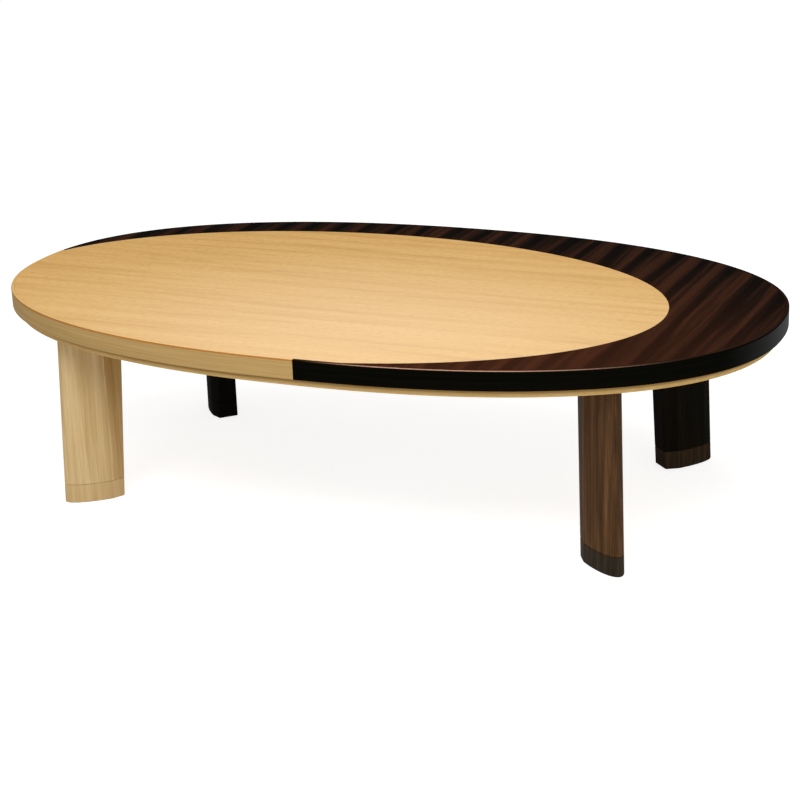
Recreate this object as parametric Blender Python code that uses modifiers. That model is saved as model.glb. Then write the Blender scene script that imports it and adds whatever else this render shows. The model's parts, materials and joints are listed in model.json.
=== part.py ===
"""A low oval table with a lift-off top, pull-off extension feet and a heater under the frame.

Metres, +Z up. The origin is on the floor under the middle of the top. +X runs along the
length to the right end and +Y runs to the back.
"""

import math

import bmesh
import bpy
from mathutils import Matrix, Vector

# Whole table
TOP_LENGTH = 1.5
TOP_WIDTH = 0.9
TABLE_HEIGHT = 0.387
OUTLINE_POWER = 2.25
OUTLINE_STEP = math.radians(3)
GAP = 0.0003

# Top board
TOP_THICK = 0.036
VENEER_THICK = 0.002
BACKING_THICK = 0.002
EDGE_WIDTH = 0.006

# Light oval in the top: how far it stops short of the outline, and how far it runs past it
OVAL_RIGHT_SHORT = 0.198
OVAL_BACK_SHORT = 0.093
OVAL_LEFT_PAST = 0.016
OVAL_FRONT_PAST = 0.014

# Where the light and dark edge bands meet, as turns along the outline counted from +X
EDGE_MEETS_BACK = math.radians(173.2)
EDGE_MEETS_FRONT = math.radians(271.25)

# Rim boards
RIM_INSET = 0.013
RIM_THICK = 0.0147

# Leg seats: the middle of each corner block's slanted face
SEAT_X = 0.4585
SEAT_Y = 0.2085

# Corner blocks and rails
BLOCK_SIDE = 0.075
BLOCK_DEPTH = 0.045
SEAT_CHAMFER = 0.036
INNER_CHAMFER = 0.03
RAIL_THICK = 0.02
RAIL_DEPTH = 0.04

# Legs and extension feet
LEG_LENGTH = 0.129
LEG_NOSE = 0.0855
LEG_HALF_WIDE = 0.0273
LEG_HALF_END = 0.0145
LEG_TAPER = 0.0185
LEG_LEAN = 0.0137
NOSE_STEPS = 16
FOOT_HEIGHT = 0.036

# Flat tongues that plug the feet into the legs
TONGUE_THICK = 0.012
TONGUE_WIDTH = 0.05
TONGUE_UP = 0.03
TONGUE_DOWN = 0.025
TONGUE_EDGE = 0.02

# Leg bolts
BOLT_RADIUS = 0.005
BOLT_HEAD_RADIUS = 0.009
BOLT_HEAD = 0.007
BOLT_INTO_LEG = 0.045

# Heater bay
BAY_HALF = 0.14
BAR_WIDTH = 0.025
BAR_DEPTH = 0.028

# Heater housing and reflector
PAN_CLEARANCE = 0.002
PAN_RISE = 0.036
PAN_SHEET = 0.0012
FLANGE_WIDTH = 0.0145
REFLECTOR_RISE = 0.0095
REFLECTOR_SKIRT = 0.0145
REFLECTOR_SHEET = 0.0008

# Heating tubes
TUBE_RADIUS = 0.0055
TUBE_WALL = 0.0012
TUBE_DROP = 0.0125
TUBE_OFFSET = 0.062
TUBE_HALF = 0.112
HOLDER_LENGTH = 0.02
HOLDER_BORE = 0.014
HOLDER_MARGIN = 0.0045
ELEMENT_WIDTH = 0.005
ELEMENT_THICK = 0.0008

# Fan
MOTOR_RADIUS = 0.024
MOTOR_HEIGHT = 0.018
SHAFT_RADIUS = 0.002
SHAFT_IN_MOTOR = 0.012
SHAFT_HOLE = 0.006
HUB_RADIUS = 0.011
HUB_TOP = 0.0045
HUB_HEIGHT = 0.0155
FAN_RADIUS = 0.042
FAN_DISC = 0.0014
FAN_BLADES = 8
BLADE_HEIGHT = 0.01
BLADE_THICK = 0.0014

# Guard under the heater
GUARD_BAR_WIDTH = 0.014
GUARD_DEPTH = 0.028
WIRE_RADIUS = 0.0013
WIRE_COUNT = 7
WIRE_LIFT = 0.005

# Heater fixing screws
SCREW_RADIUS = 0.002
SCREW_INTO_BAR = 0.015
SCREW_HEAD_RADIUS = 0.004
SCREW_HEAD = 0.0024
SCREW_SINK = 0.003

# Cord inlet on the heater's right side
INLET_WIDTH = 0.04
INLET_LENGTH = 0.03
INLET_HEIGHT = 0.024
INLET_WALL = 0.004
INLET_DEPTH = 0.02
INLET_Y = 0.06
INLET_DROP = 0.002
PIN_RADIUS = 0.002
PIN_LENGTH = 0.012
PIN_SPACING = 0.013

# Small electrical pieces that stand on the reflector
WIRING_Y = 0.095
TERMINAL_SIZE = (0.044, 0.018, 0.015)
THERMOSTAT_SIZE = (0.026, 0.016, 0.012)
THERMOSTAT_X = 0.075

# Levels worked out from the sizes above
TOP_LOW = TABLE_HEIGHT - TOP_THICK
RIM_HIGH = TOP_LOW - GAP
RIM_LOW = RIM_HIGH - RIM_THICK
UNDER_RIM = RIM_LOW - GAP
BLOCK_LOW = UNDER_RIM - BLOCK_DEPTH
RAIL_LOW = UNDER_RIM - RAIL_DEPTH
BAR_LOW = UNDER_RIM - BAR_DEPTH
HEATER_Z = BAR_LOW - GAP
BOLT_LEVEL = UNDER_RIM - BLOCK_DEPTH / 2

# Plan places worked out from the sizes above
RAIL_X = SEAT_X + SEAT_CHAMFER / 2
RAIL_Y = SEAT_Y + SEAT_CHAMFER / 2
BLOCK_X = RAIL_X - BLOCK_SIDE
BLOCK_Y = RAIL_Y - BLOCK_SIDE
RIM_IN_X = RAIL_X - RAIL_THICK
RIM_IN_Y = RAIL_Y - RAIL_THICK
BLOCK_THROUGH = (SEAT_X + SEAT_Y - BLOCK_X - BLOCK_Y - INNER_CHAMFER) / math.sqrt(2)
NOSE_START = LEG_LENGTH - LEG_NOSE
OVAL_ALONG = (TOP_LENGTH - OVAL_RIGHT_SHORT + OVAL_LEFT_PAST) / 2
OVAL_ACROSS = (TOP_WIDTH - OVAL_BACK_SHORT + OVAL_FRONT_PAST) / 2
OVAL_X = (TOP_LENGTH / 2 - OVAL_RIGHT_SHORT) - OVAL_ALONG
OVAL_Y = (TOP_WIDTH / 2 - OVAL_BACK_SHORT) - OVAL_ACROSS
PAN_HALF = BAY_HALF - PAN_CLEARANCE
FLANGE_HALF = PAN_HALF + FLANGE_WIDTH
PAN_INSIDE = PAN_HALF - PAN_SHEET
REFLECTOR_LOW = REFLECTOR_RISE - REFLECTOR_SHEET
TUBE_Z = REFLECTOR_LOW - TUBE_DROP
MOTOR_TOP = PAN_RISE - PAN_SHEET - GAP
MOTOR_LOW = MOTOR_TOP - MOTOR_HEIGHT
GUARD_TOP = -PAN_SHEET - GAP
GUARD_LOW = GUARD_TOP - GUARD_DEPTH
GUARD_IN = FLANGE_HALF - GUARD_BAR_WIDTH
SCREW_AT = FLANGE_HALF - GUARD_BAR_WIDTH / 2

# Looks: colour, roughness, metallic
LIGHT_WOOD = ((0.76, 0.50, 0.25), 0.35, 0.0)
DARK_WOOD = ((0.045, 0.018, 0.009), 0.3, 0.0)
FRAME_WOOD = ((0.42, 0.27, 0.12), 0.5, 0.0)
BARE_WOOD = ((0.60, 0.45, 0.27), 0.6, 0.0)
BOARD = ((0.30, 0.20, 0.11), 0.8, 0.0)
STEEL = ((0.55, 0.55, 0.55), 0.35, 1.0)
BRASS = ((0.70, 0.50, 0.20), 0.35, 1.0)
PAINTED_STEEL = ((0.10, 0.10, 0.11), 0.45, 0.2)
POLISHED = ((0.85, 0.86, 0.88), 0.15, 1.0)
QUARTZ = ((0.80, 0.35, 0.20), 0.1, 0.0)
CERAMIC = ((0.85, 0.83, 0.78), 0.5, 0.0)
CARBON = ((0.02, 0.02, 0.02), 0.7, 0.0)
PLASTIC = ((0.05, 0.05, 0.05), 0.5, 0.0)

CORNERS = {
    "front_left": (-1, -1),
    "front_right": (1, -1),
    "back_right": (1, 1),
    "back_left": (-1, 1),
}

for old in list(bpy.data.objects):
    bpy.data.objects.remove(old, do_unlink=True)

TABLE = bpy.data.collections.new("oval_table")
CUTTERS = bpy.data.collections.new("cutters")
bpy.context.scene.collection.children.link(TABLE)
bpy.context.scene.collection.children.link(CUTTERS)


# Helpers: objects and finishes

def empty(name, place):
    """A plain empty that pieces hang from."""
    holder = bpy.data.objects.new(name, None)
    TABLE.objects.link(holder)
    holder.location = place
    return holder


def piece(name, data, look, parent=None):
    """One named sub-part with its own finish."""
    colour, roughness, metallic = look
    material = bpy.data.materials.new(name + "_finish")
    material.use_nodes = True
    shader = material.node_tree.nodes["Principled BSDF"]
    shader.inputs["Base Color"].default_value = (*colour, 1.0)
    shader.inputs["Roughness"].default_value = roughness
    shader.inputs["Metallic"].default_value = metallic
    data.materials.append(material)
    made = bpy.data.objects.new(name, data)
    TABLE.objects.link(made)
    made.parent = parent
    return made


def mesh_of(name, bm):
    """The finished mesh of a bmesh."""
    mesh = bpy.data.meshes.new(name)
    bm.to_mesh(mesh)
    bm.free()
    return mesh


# Helpers: shapes

def flat_curve(name, outline, low, high):
    """A flat curve, filled inside its outline, from one level up to another."""
    curve = bpy.data.curves.new(name, "CURVE")
    curve.dimensions = "2D"
    curve.fill_mode = "BOTH"
    curve.extrude = (high - low) / 2
    spline = curve.splines.new("POLY")
    spline.points.add(len(outline) - 1)
    for point, place in zip(spline.points, outline):
        point.co = (place[0], place[1], 0, 1)
    spline.use_cyclic_u = True
    return curve


def board(name, outline, low, high, look, parent=None):
    """A flat board cut to an outline."""
    made = piece(name, flat_curve(name, outline, low, high), look, parent)
    made.location.z = (low + high) / 2
    return made


def solid_board(name, outline, low, high, look):
    """A board as a mesh, for pieces that are drilled."""
    curve = bpy.data.objects.new(name + "_plan", flat_curve(name, outline, low, high))
    TABLE.objects.link(curve)
    curve.location.z = (low + high) / 2
    bpy.context.view_layer.update()
    mesh = bpy.data.meshes.new_from_object(curve.evaluated_get(bpy.context.evaluated_depsgraph_get()))
    bm = bmesh.new()
    bm.from_mesh(mesh)
    bmesh.ops.remove_doubles(bm, verts=bm.verts, dist=GAP / 10)
    bm.to_mesh(mesh)
    bm.free()
    made = piece(name, mesh, look)
    made.matrix_world = curve.matrix_world
    bpy.data.objects.remove(curve, do_unlink=True)
    return made


def add_box(bm, low, high):
    """A box between two corners."""
    low = Vector(low)
    high = Vector(high)
    size = high - low
    place = Matrix.Translation((low + high) / 2) @ Matrix.Diagonal((*size, 1))
    bmesh.ops.create_cube(bm, size=1, matrix=place)


def box(name, low, high, look, parent=None):
    """A plain rectangular piece."""
    bm = bmesh.new()
    add_box(bm, low, high)
    return piece(name, mesh_of(name, bm), look, parent)


def add_rod(bm, start, end, radius, sides=16):
    """A solid cylinder between two points."""
    start = Vector(start)
    end = Vector(end)
    turn = (end - start).to_track_quat("Z", "Y").to_matrix().to_4x4()
    place = Matrix.Translation((start + end) / 2) @ turn
    bmesh.ops.create_cone(bm, cap_ends=True, segments=sides, radius1=radius, radius2=radius,
                          depth=(end - start).length, matrix=place)


def turned(profile, sides=16):
    """A turned solid about +Z, from (radius, height) points down its outer side or round a ring."""
    bm = bmesh.new()
    verts = [bm.verts.new((radius, 0, height)) for radius, height in profile]
    edges = [bm.edges.new(pair) for pair in zip(verts, verts[1:])]
    if all(radius > 0 for radius, _ in profile):
        edges.append(bm.edges.new((verts[-1], verts[0])))
    bmesh.ops.spin(bm, geom=verts + edges, cent=(0, 0, 0), axis=(0, 0, 1),
                   angle=2 * math.pi, steps=sides, use_merge=True)
    bmesh.ops.remove_doubles(bm, verts=bm.verts, dist=GAP / 10)
    bmesh.ops.recalc_face_normals(bm, faces=bm.faces)
    return bm


def turned_piece(name, profile, place, look, parent=None, sides=16):
    """A turned piece at its place."""
    made = piece(name, mesh_of(name, turned(profile, sides)), look, parent)
    made.matrix_local = place
    return made


def helper_object(name, bm, parent):
    """A hidden shape that cuts or grows a piece, in that piece's own frame."""
    made = bpy.data.objects.new(name, mesh_of(name, bm))
    CUTTERS.objects.link(made)
    made.parent = parent
    made.hide_render = True
    made.display_type = "WIRE"
    return made


def combine(target, bm, operation, name):
    """Cuts a shape out of a piece, or joins it on."""
    step = target.modifiers.new(name, "BOOLEAN")
    step.operation = operation
    step.solver = "EXACT"
    step.use_self = True
    step.object = helper_object(target.name + "_" + name, bm, target)


def drill(target, holes):
    """Round holes, each given by its two ends and its radius in the target's own frame."""
    bm = bmesh.new()
    for start, end, radius in holes:
        add_rod(bm, start, end, radius)
    combine(target, bm, "DIFFERENCE", "holes")


# Helpers: the table's outline and its light oval

def outline_point(turn, inset):
    """A point of the table's outline, drawn in by inset, at a turn counted from +X."""
    power = 2 / OUTLINE_POWER
    x = (TOP_LENGTH / 2 - inset) * math.copysign(abs(math.cos(turn)) ** power, math.cos(turn))
    y = (TOP_WIDTH / 2 - inset) * math.copysign(abs(math.sin(turn)) ** power, math.sin(turn))
    return Vector((x, y))


def oval_point(turn, grow=0.0):
    """A point of the light oval, grown by a little."""
    x = OVAL_X + (OVAL_ALONG + grow) * math.cos(turn)
    y = OVAL_Y + (OVAL_ACROSS + grow) * math.sin(turn)
    return Vector((x, y))


def oval_turn(point, grow=0.0):
    """The turn at which the light oval passes a point."""
    across = (point.y - OVAL_Y) / (OVAL_ACROSS + grow)
    along = (point.x - OVAL_X) / (OVAL_ALONG + grow)
    return math.atan2(across, along)


def sweep(maker, start, stop, *sizes):
    """Points from one turn to another, ends included, at whole steps in between."""
    low, high = sorted((start, stop))
    first = math.floor(low / OUTLINE_STEP) + 1
    last = math.ceil(high / OUTLINE_STEP) - 1
    between = [step * OUTLINE_STEP for step in range(first, last + 1)]
    between = [turn for turn in between if low + OUTLINE_STEP / 10 < turn < high - OUTLINE_STEP / 10]
    turns = [low, *between, high]
    if start > stop:
        turns.reverse()
    return [maker(turn, *sizes) for turn in turns]


def meeting(value, low, high):
    """The turn between low and high at which a value that rises from below zero passes it."""
    for _ in range(60):
        middle = (low + high) / 2
        if value(middle) < 0:
            low = middle
        else:
            high = middle
    return (low + high) / 2


def oval_meets(inset, grow=0.0):
    """The turns at the back and at the front where the light oval runs out over the outline."""
    def outside(turn):
        point = outline_point(turn, inset)
        along = (point.x - OVAL_X) / (OVAL_ALONG + grow)
        across = (point.y - OVAL_Y) / (OVAL_ACROSS + grow)
        return along ** 2 + across ** 2 - 1
    light = math.radians(225)
    back = meeting(outside, light, math.radians(135))
    front = meeting(outside, light, math.radians(315))
    return back, front


# Top board

def make_top():
    """Core board, two-tone veneer, edge bands and backing sheet, which lift off together."""
    top = empty("top_board", (0, 0, 0))
    core_inset = EDGE_WIDTH + GAP
    whole = sweep(outline_point, 0, 2 * math.pi, core_inset)[:-1]
    core_low = TOP_LOW + BACKING_THICK + GAP
    core_high = TABLE_HEIGHT - VENEER_THICK - GAP
    board("top_core", whole, core_low, core_high, BOARD, top)
    board("backing_sheet", whole, TOP_LOW, TOP_LOW + BACKING_THICK, BARE_WOOD, top)

    veneer_low = TABLE_HEIGHT - VENEER_THICK
    back, front = oval_meets(core_inset)
    edge = sweep(outline_point, back, front, core_inset)
    oval_start = oval_turn(edge[-1])
    oval_stop = oval_turn(edge[0])
    light = edge + sweep(oval_point, oval_start, oval_stop)[1:-1]
    board("light_veneer", light, veneer_low, TABLE_HEIGHT, LIGHT_WOOD, top)

    back, front = oval_meets(core_inset, GAP)
    edge = sweep(outline_point, front - 2 * math.pi, back, core_inset)
    oval_start = oval_turn(edge[-1], GAP)
    oval_stop = oval_turn(edge[0], GAP)
    dark = edge + sweep(oval_point, oval_start, oval_stop, GAP)[1:-1]
    board("dark_veneer", dark, veneer_low, TABLE_HEIGHT, DARK_WOOD, top)

    seam = GAP / TOP_WIDTH
    spans = {"light_edge": (EDGE_MEETS_BACK + seam, EDGE_MEETS_FRONT - seam, LIGHT_WOOD),
             "dark_edge": (EDGE_MEETS_FRONT - 2 * math.pi + seam, EDGE_MEETS_BACK - seam, DARK_WOOD)}
    for name, (start, stop, look) in spans.items():
        outer = sweep(outline_point, start, stop, 0)
        inner = sweep(outline_point, stop, start, EDGE_WIDTH)
        board(name, outer + inner, TOP_LOW, TABLE_HEIGHT, look, top)


# Frame: rim boards, corner blocks, rails and heater bars

def make_rim():
    """Four boards that make the oval rim, mitred over the legs."""
    shift = GAP / math.sqrt(2)

    def past_mitre(turn, side):
        point = outline_point(turn, RIM_INSET)
        return (point.y - RIM_IN_Y) - (point.x - RIM_IN_X) - side * shift

    end_turn = meeting(lambda turn: past_mitre(turn, -1), 0, math.pi / 2)
    long_turn = meeting(lambda turn: past_mitre(turn, 1), 0, math.pi / 2)
    end_inner = RIM_IN_Y - shift
    long_inner = RIM_IN_X - shift
    end = sweep(outline_point, -end_turn, end_turn, RIM_INSET)
    end += [Vector((RIM_IN_X, end_inner)), Vector((RIM_IN_X, -end_inner))]
    long = sweep(outline_point, long_turn, math.pi - long_turn, RIM_INSET)
    long += [Vector((-long_inner, RIM_IN_Y)), Vector((long_inner, RIM_IN_Y))]
    board("rim_right", end, RIM_LOW, RIM_HIGH, FRAME_WOOD)
    board("rim_left", [-point for point in end], RIM_LOW, RIM_HIGH, FRAME_WOOD)
    board("rim_back", long, RIM_LOW, RIM_HIGH, FRAME_WOOD)
    board("rim_front", [-point for point in long], RIM_LOW, RIM_HIGH, FRAME_WOOD)


def corner_outline(x, y):
    """The plan of a corner block, with the leg's slanted seat and a slanted face for the bolt heads."""
    points = [
        (RAIL_X, BLOCK_Y),
        (RAIL_X, RAIL_Y - SEAT_CHAMFER),
        (RAIL_X - SEAT_CHAMFER, RAIL_Y),
        (BLOCK_X, RAIL_Y),
        (BLOCK_X, BLOCK_Y + INNER_CHAMFER),
        (BLOCK_X + INNER_CHAMFER, BLOCK_Y),
    ]
    turned_points = [Vector((x * along, y * across)) for along, across in points]
    return turned_points if x * y > 0 else turned_points[::-1]


def corner_place(x, y):
    """The frame of a leg seat: local +X points out along the leg, away from the table's middle."""
    return Matrix.Translation((x * SEAT_X, y * SEAT_Y, 0)) @ Matrix.Rotation(math.atan2(y, x), 4, "Z")


def make_blocks():
    """Corner blocks that carry the legs and join the rails."""
    for corner, (x, y) in CORNERS.items():
        block = solid_board("corner_block_" + corner, corner_outline(x, y), BLOCK_LOW, UNDER_RIM, BARE_WOOD)
        reach = BLOCK_THROUGH + INNER_CHAMFER
        seat = corner_place(x, y)
        middle = Vector((0, 0, (BLOCK_LOW + UNDER_RIM) / 2))
        inner = seat @ Vector((-reach, 0, BOLT_LEVEL)) - middle
        outer = seat @ Vector((reach, 0, BOLT_LEVEL)) - middle
        drill(block, [(inner, outer, BOLT_RADIUS + GAP)])


def make_rails():
    """Rails under the rim's inner edges, between the corner blocks."""
    long_half = BLOCK_X - GAP
    end_half = BLOCK_Y - GAP
    for name, side in (("front", -1), ("back", 1)):
        ys = sorted((side * RIM_IN_Y, side * RAIL_Y))
        box("rail_" + name, (-long_half, ys[0], RAIL_LOW), (long_half, ys[1], UNDER_RIM), BARE_WOOD)
    for name, side in (("left", -1), ("right", 1)):
        xs = sorted((side * RIM_IN_X, side * RAIL_X))
        box("rail_" + name, (xs[0], -end_half, RAIL_LOW), (xs[1], end_half, UNDER_RIM), BARE_WOOD)


def make_bars():
    """Two bars across the frame that the heater hangs from."""
    reach = RIM_IN_Y - GAP
    for name, side in (("left", -1), ("right", 1)):
        xs = sorted((side * BAY_HALF, side * (BAY_HALF + BAR_WIDTH)))
        bar = box("heater_bar_" + name, (xs[0], -reach, BAR_LOW), (xs[1], reach, UNDER_RIM), BARE_WOOD)
        holes = []
        for y in (-SCREW_AT, SCREW_AT):
            low = Vector((side * SCREW_AT, y, BAR_LOW - GAP))
            high = Vector((side * SCREW_AT, y, BAR_LOW + SCREW_INTO_BAR + GAP))
            holes.append((low, high, SCREW_RADIUS + GAP))
        drill(bar, holes)


# Legs, feet and their fixings

def leg_back(level):
    """How far out the leg's inner end lies at a level: upright at the block, tapering below it."""
    fall = max(0.0, (BLOCK_LOW - level) / BLOCK_LOW)
    return GAP + LEG_TAPER * fall


def leg_section(bm, level):
    """One level of the leg: a flat inner end, swelling sides and a long nose that leans out downwards."""
    inner = leg_back(level)
    swell = (LEG_HALF_WIDE - LEG_HALF_END) / NOSE_START
    half = LEG_HALF_END + swell * inner
    nose = LEG_NOSE - LEG_LEAN * level / UNDER_RIM
    plan = [(inner, half), (inner, -half)]
    for step in range(NOSE_STEPS + 1):
        turn = math.pi * (step / NOSE_STEPS - 0.5)
        plan.append((NOSE_START + nose * math.cos(turn), LEG_HALF_WIDE * math.sin(turn)))
    return [bm.verts.new((along, across, level)) for along, across in plan]


def leg_solid(levels):
    """The leg's sections bridged from the lowest level to the highest."""
    bm = bmesh.new()
    loops = []
    for level in levels:
        verts = leg_section(bm, level)
        loops.append([bm.edges.new(pair) for pair in zip(verts, verts[1:] + verts[:1])])
        if level in (levels[0], levels[-1]):
            bm.faces.new(verts)
    for low, high in zip(loops, loops[1:]):
        bmesh.ops.bridge_loops(bm, edges=low + high)
    bmesh.ops.recalc_face_normals(bm, faces=bm.faces)
    return bm


def tongue_box(bm, clearance):
    """The tongue between a leg and its foot, or its slot."""
    inner = LEG_TAPER + TONGUE_EDGE
    half = TONGUE_THICK / 2 + clearance
    low = (inner - clearance, -half, FOOT_HEIGHT - TONGUE_DOWN - clearance)
    high = (inner + TONGUE_WIDTH + clearance, half, FOOT_HEIGHT + TONGUE_UP + clearance)
    add_box(bm, low, high)


def slot(target):
    """Cuts the slot for a tongue."""
    bm = bmesh.new()
    tongue_box(bm, GAP)
    combine(target, bm, "DIFFERENCE", "slot")


def make_legs():
    """Four leg fins, each drilled for its bolt and slotted for its foot's tongue."""
    for corner, (x, y) in CORNERS.items():
        look = LIGHT_WOOD if corner == "front_left" else DARK_WOOD
        name = "leg_" + corner
        leg = piece(name, mesh_of(name, leg_solid([FOOT_HEIGHT + GAP, BLOCK_LOW, UNDER_RIM])), look)
        leg.matrix_world = corner_place(x, y)
        mouth = Vector((-GAP, 0, BOLT_LEVEL))
        end = Vector((BOLT_INTO_LEG + GAP, 0, BOLT_LEVEL))
        drill(leg, [(mouth, end, BOLT_RADIUS + GAP)])
        slot(leg)


def make_feet():
    """Extension feet that pull off downwards, each with a glued tongue."""
    for corner, (x, y) in CORNERS.items():
        look = LIGHT_WOOD if corner == "front_left" else DARK_WOOD
        name = "foot_" + corner
        foot = piece(name, mesh_of(name, leg_solid([0, FOOT_HEIGHT])), look)
        foot.matrix_world = corner_place(x, y)
        slot(foot)
        tongue = bmesh.new()
        tongue_box(tongue, 0)
        name = "foot_tongue_" + corner
        piece(name, mesh_of(name, tongue), BARE_WOOD, foot)


def make_bolts():
    """One bolt through each corner block into its leg."""
    seat = -BLOCK_THROUGH - GAP
    profile = [(0, BOLT_INTO_LEG), (BOLT_RADIUS, BOLT_INTO_LEG), (BOLT_RADIUS, seat),
               (BOLT_HEAD_RADIUS, seat), (BOLT_HEAD_RADIUS, seat - BOLT_HEAD), (0, seat - BOLT_HEAD)]
    lying = Matrix.Translation((0, 0, BOLT_LEVEL)) @ Matrix.Rotation(math.pi / 2, 4, "Y")
    for corner, (x, y) in CORNERS.items():
        turned_piece("leg_bolt_" + corner, profile, corner_place(x, y) @ lying, STEEL, sides=12)


# Heater: housing, reflector, tubes, fan, guard, inlet and small electrical pieces

def flared_tray(half, rise, foot_half, flat_sides):
    """A square tray, mouth down, with upright or sloping sides that end in an outward edge at level 0."""
    bm = bmesh.new()
    bmesh.ops.create_grid(bm, x_segments=1, y_segments=1, size=half,
                          matrix=Matrix.Translation((0, 0, rise)))
    steps = [(half, 0), (foot_half, 0)] if flat_sides else [(foot_half, 0)]
    for reach, level in steps:
        rim = [edge for edge in bm.edges if edge.is_boundary]
        grown = bmesh.ops.extrude_edge_only(bm, edges=rim)["geom"]
        for vert in (part for part in grown if isinstance(part, bmesh.types.BMVert)):
            vert.co.x = math.copysign(reach, vert.co.x)
            vert.co.y = math.copysign(reach, vert.co.y)
            vert.co.z = level
    bmesh.ops.recalc_face_normals(bm, faces=bm.faces)
    top = max(bm.faces, key=lambda face: face.calc_center_median().z)
    if top.normal.z < 0:
        bmesh.ops.reverse_faces(bm, faces=bm.faces)
    return bm


def sheet_metal(made, sheet):
    """Gives an open surface its thickness, on its inner side."""
    wall = made.modifiers.new("sheet", "SOLIDIFY")
    wall.thickness = sheet
    wall.offset = -1
    wall.solidify_mode = "NON_MANIFOLD"
    wall.nonmanifold_thickness_mode = "CONSTRAINTS"
    wall.nonmanifold_merge_threshold = GAP / 10


def make_housing(heater):
    """The pressed steel pan and the polished reflector in its mouth."""
    pan = piece("heater_housing", mesh_of("heater_housing", flared_tray(
        PAN_HALF, PAN_RISE, FLANGE_HALF, True)), PAINTED_STEEL, heater)
    sheet_metal(pan, PAN_SHEET)
    holes = []
    for x, y in CORNERS.values():
        spot = Vector((x * SCREW_AT, y * SCREW_AT, 0))
        depth = Vector((0, 0, PAN_SHEET * 2))
        holes.append((spot - depth, spot + depth, SCREW_RADIUS + GAP))
    drill(pan, holes)

    mouth = PAN_INSIDE - GAP
    reflector = piece("reflector", mesh_of("reflector", flared_tray(
        mouth - REFLECTOR_SKIRT, REFLECTOR_RISE, mouth, False)), POLISHED, heater)
    sheet_metal(reflector, REFLECTOR_SHEET)
    drill(reflector, [(Vector((0, 0, 0)), Vector((0, 0, REFLECTOR_RISE * 2)), SHAFT_HOLE)])


def make_tubes(heater):
    """Quartz tubes with carbon elements inside, and the ceramic holders at their ends."""
    lying = Matrix.Rotation(math.pi / 2, 4, "Y")
    inner = TUBE_RADIUS - TUBE_WALL
    length = TUBE_HALF - GAP
    tube = [(inner, length), (TUBE_RADIUS, length), (TUBE_RADIUS, -length), (inner, -length)]
    for name, side in (("front", -1), ("back", 1)):
        middle = side * TUBE_OFFSET
        place = Matrix.Translation((0, middle, TUBE_Z)) @ lying
        turned_piece("quartz_tube_" + name, tube, place, QUARTZ, heater, sides=12)
        low = (-length, middle - ELEMENT_WIDTH / 2, TUBE_Z - ELEMENT_THICK / 2)
        high = (length, middle + ELEMENT_WIDTH / 2, TUBE_Z + ELEMENT_THICK / 2)
        box("carbon_element_" + name, low, high, CARBON, heater)
    mouth = TUBE_HALF - HOLDER_BORE
    half = TUBE_OFFSET + TUBE_RADIUS + HOLDER_MARGIN
    low_z = TUBE_Z - TUBE_RADIUS - HOLDER_MARGIN
    for name, side in (("left", -1), ("right", 1)):
        xs = sorted((side * mouth, side * (mouth + HOLDER_LENGTH)))
        holder = box("ceramic_holder_" + name, (xs[0], -half, low_z), (xs[1], half, REFLECTOR_LOW - GAP),
                     CERAMIC, heater)
        holes = []
        for y in (-TUBE_OFFSET, TUBE_OFFSET):
            start = Vector((side * (mouth - GAP), y, TUBE_Z))
            end = Vector((side * TUBE_HALF, y, TUBE_Z))
            holes.append((start, end, TUBE_RADIUS + GAP))
        drill(holder, holes)


def make_fan(heater):
    """The fan motor under the pan and the impeller on its shaft."""
    bore = SHAFT_RADIUS + GAP
    pocket = MOTOR_LOW + SHAFT_IN_MOTOR
    motor = [(0, MOTOR_TOP), (MOTOR_RADIUS, MOTOR_TOP), (MOTOR_RADIUS, MOTOR_LOW),
             (bore, MOTOR_LOW), (bore, pocket), (0, pocket)]
    turned_piece("fan_motor", motor, Matrix.Identity(4), STEEL, heater, sides=20)

    shaft_top = pocket - GAP
    hub_low = HUB_TOP - HUB_HEIGHT
    disc_low = HUB_TOP - FAN_DISC
    profile = [(0, shaft_top), (SHAFT_RADIUS, shaft_top), (SHAFT_RADIUS, HUB_TOP), (FAN_RADIUS, HUB_TOP),
               (FAN_RADIUS, disc_low), (HUB_RADIUS, disc_low), (HUB_RADIUS, hub_low), (0, hub_low)]
    impeller = turned_piece("fan_impeller", profile, Matrix.Identity(4), PLASTIC, heater, sides=24)
    blades = bmesh.new()
    for step in range(FAN_BLADES):
        old = set(blades.verts)
        low = (HUB_RADIUS - BLADE_THICK, -BLADE_THICK / 2, disc_low - BLADE_HEIGHT)
        high = (FAN_RADIUS - BLADE_THICK, BLADE_THICK / 2, disc_low + FAN_DISC / 2)
        add_box(blades, low, high)
        bmesh.ops.rotate(blades, verts=[vert for vert in blades.verts if vert not in old], cent=(0, 0, 0),
                         matrix=Matrix.Rotation(2 * math.pi * step / FAN_BLADES, 3, "Z"))
    combine(impeller, blades, "UNION", "blades")


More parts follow.
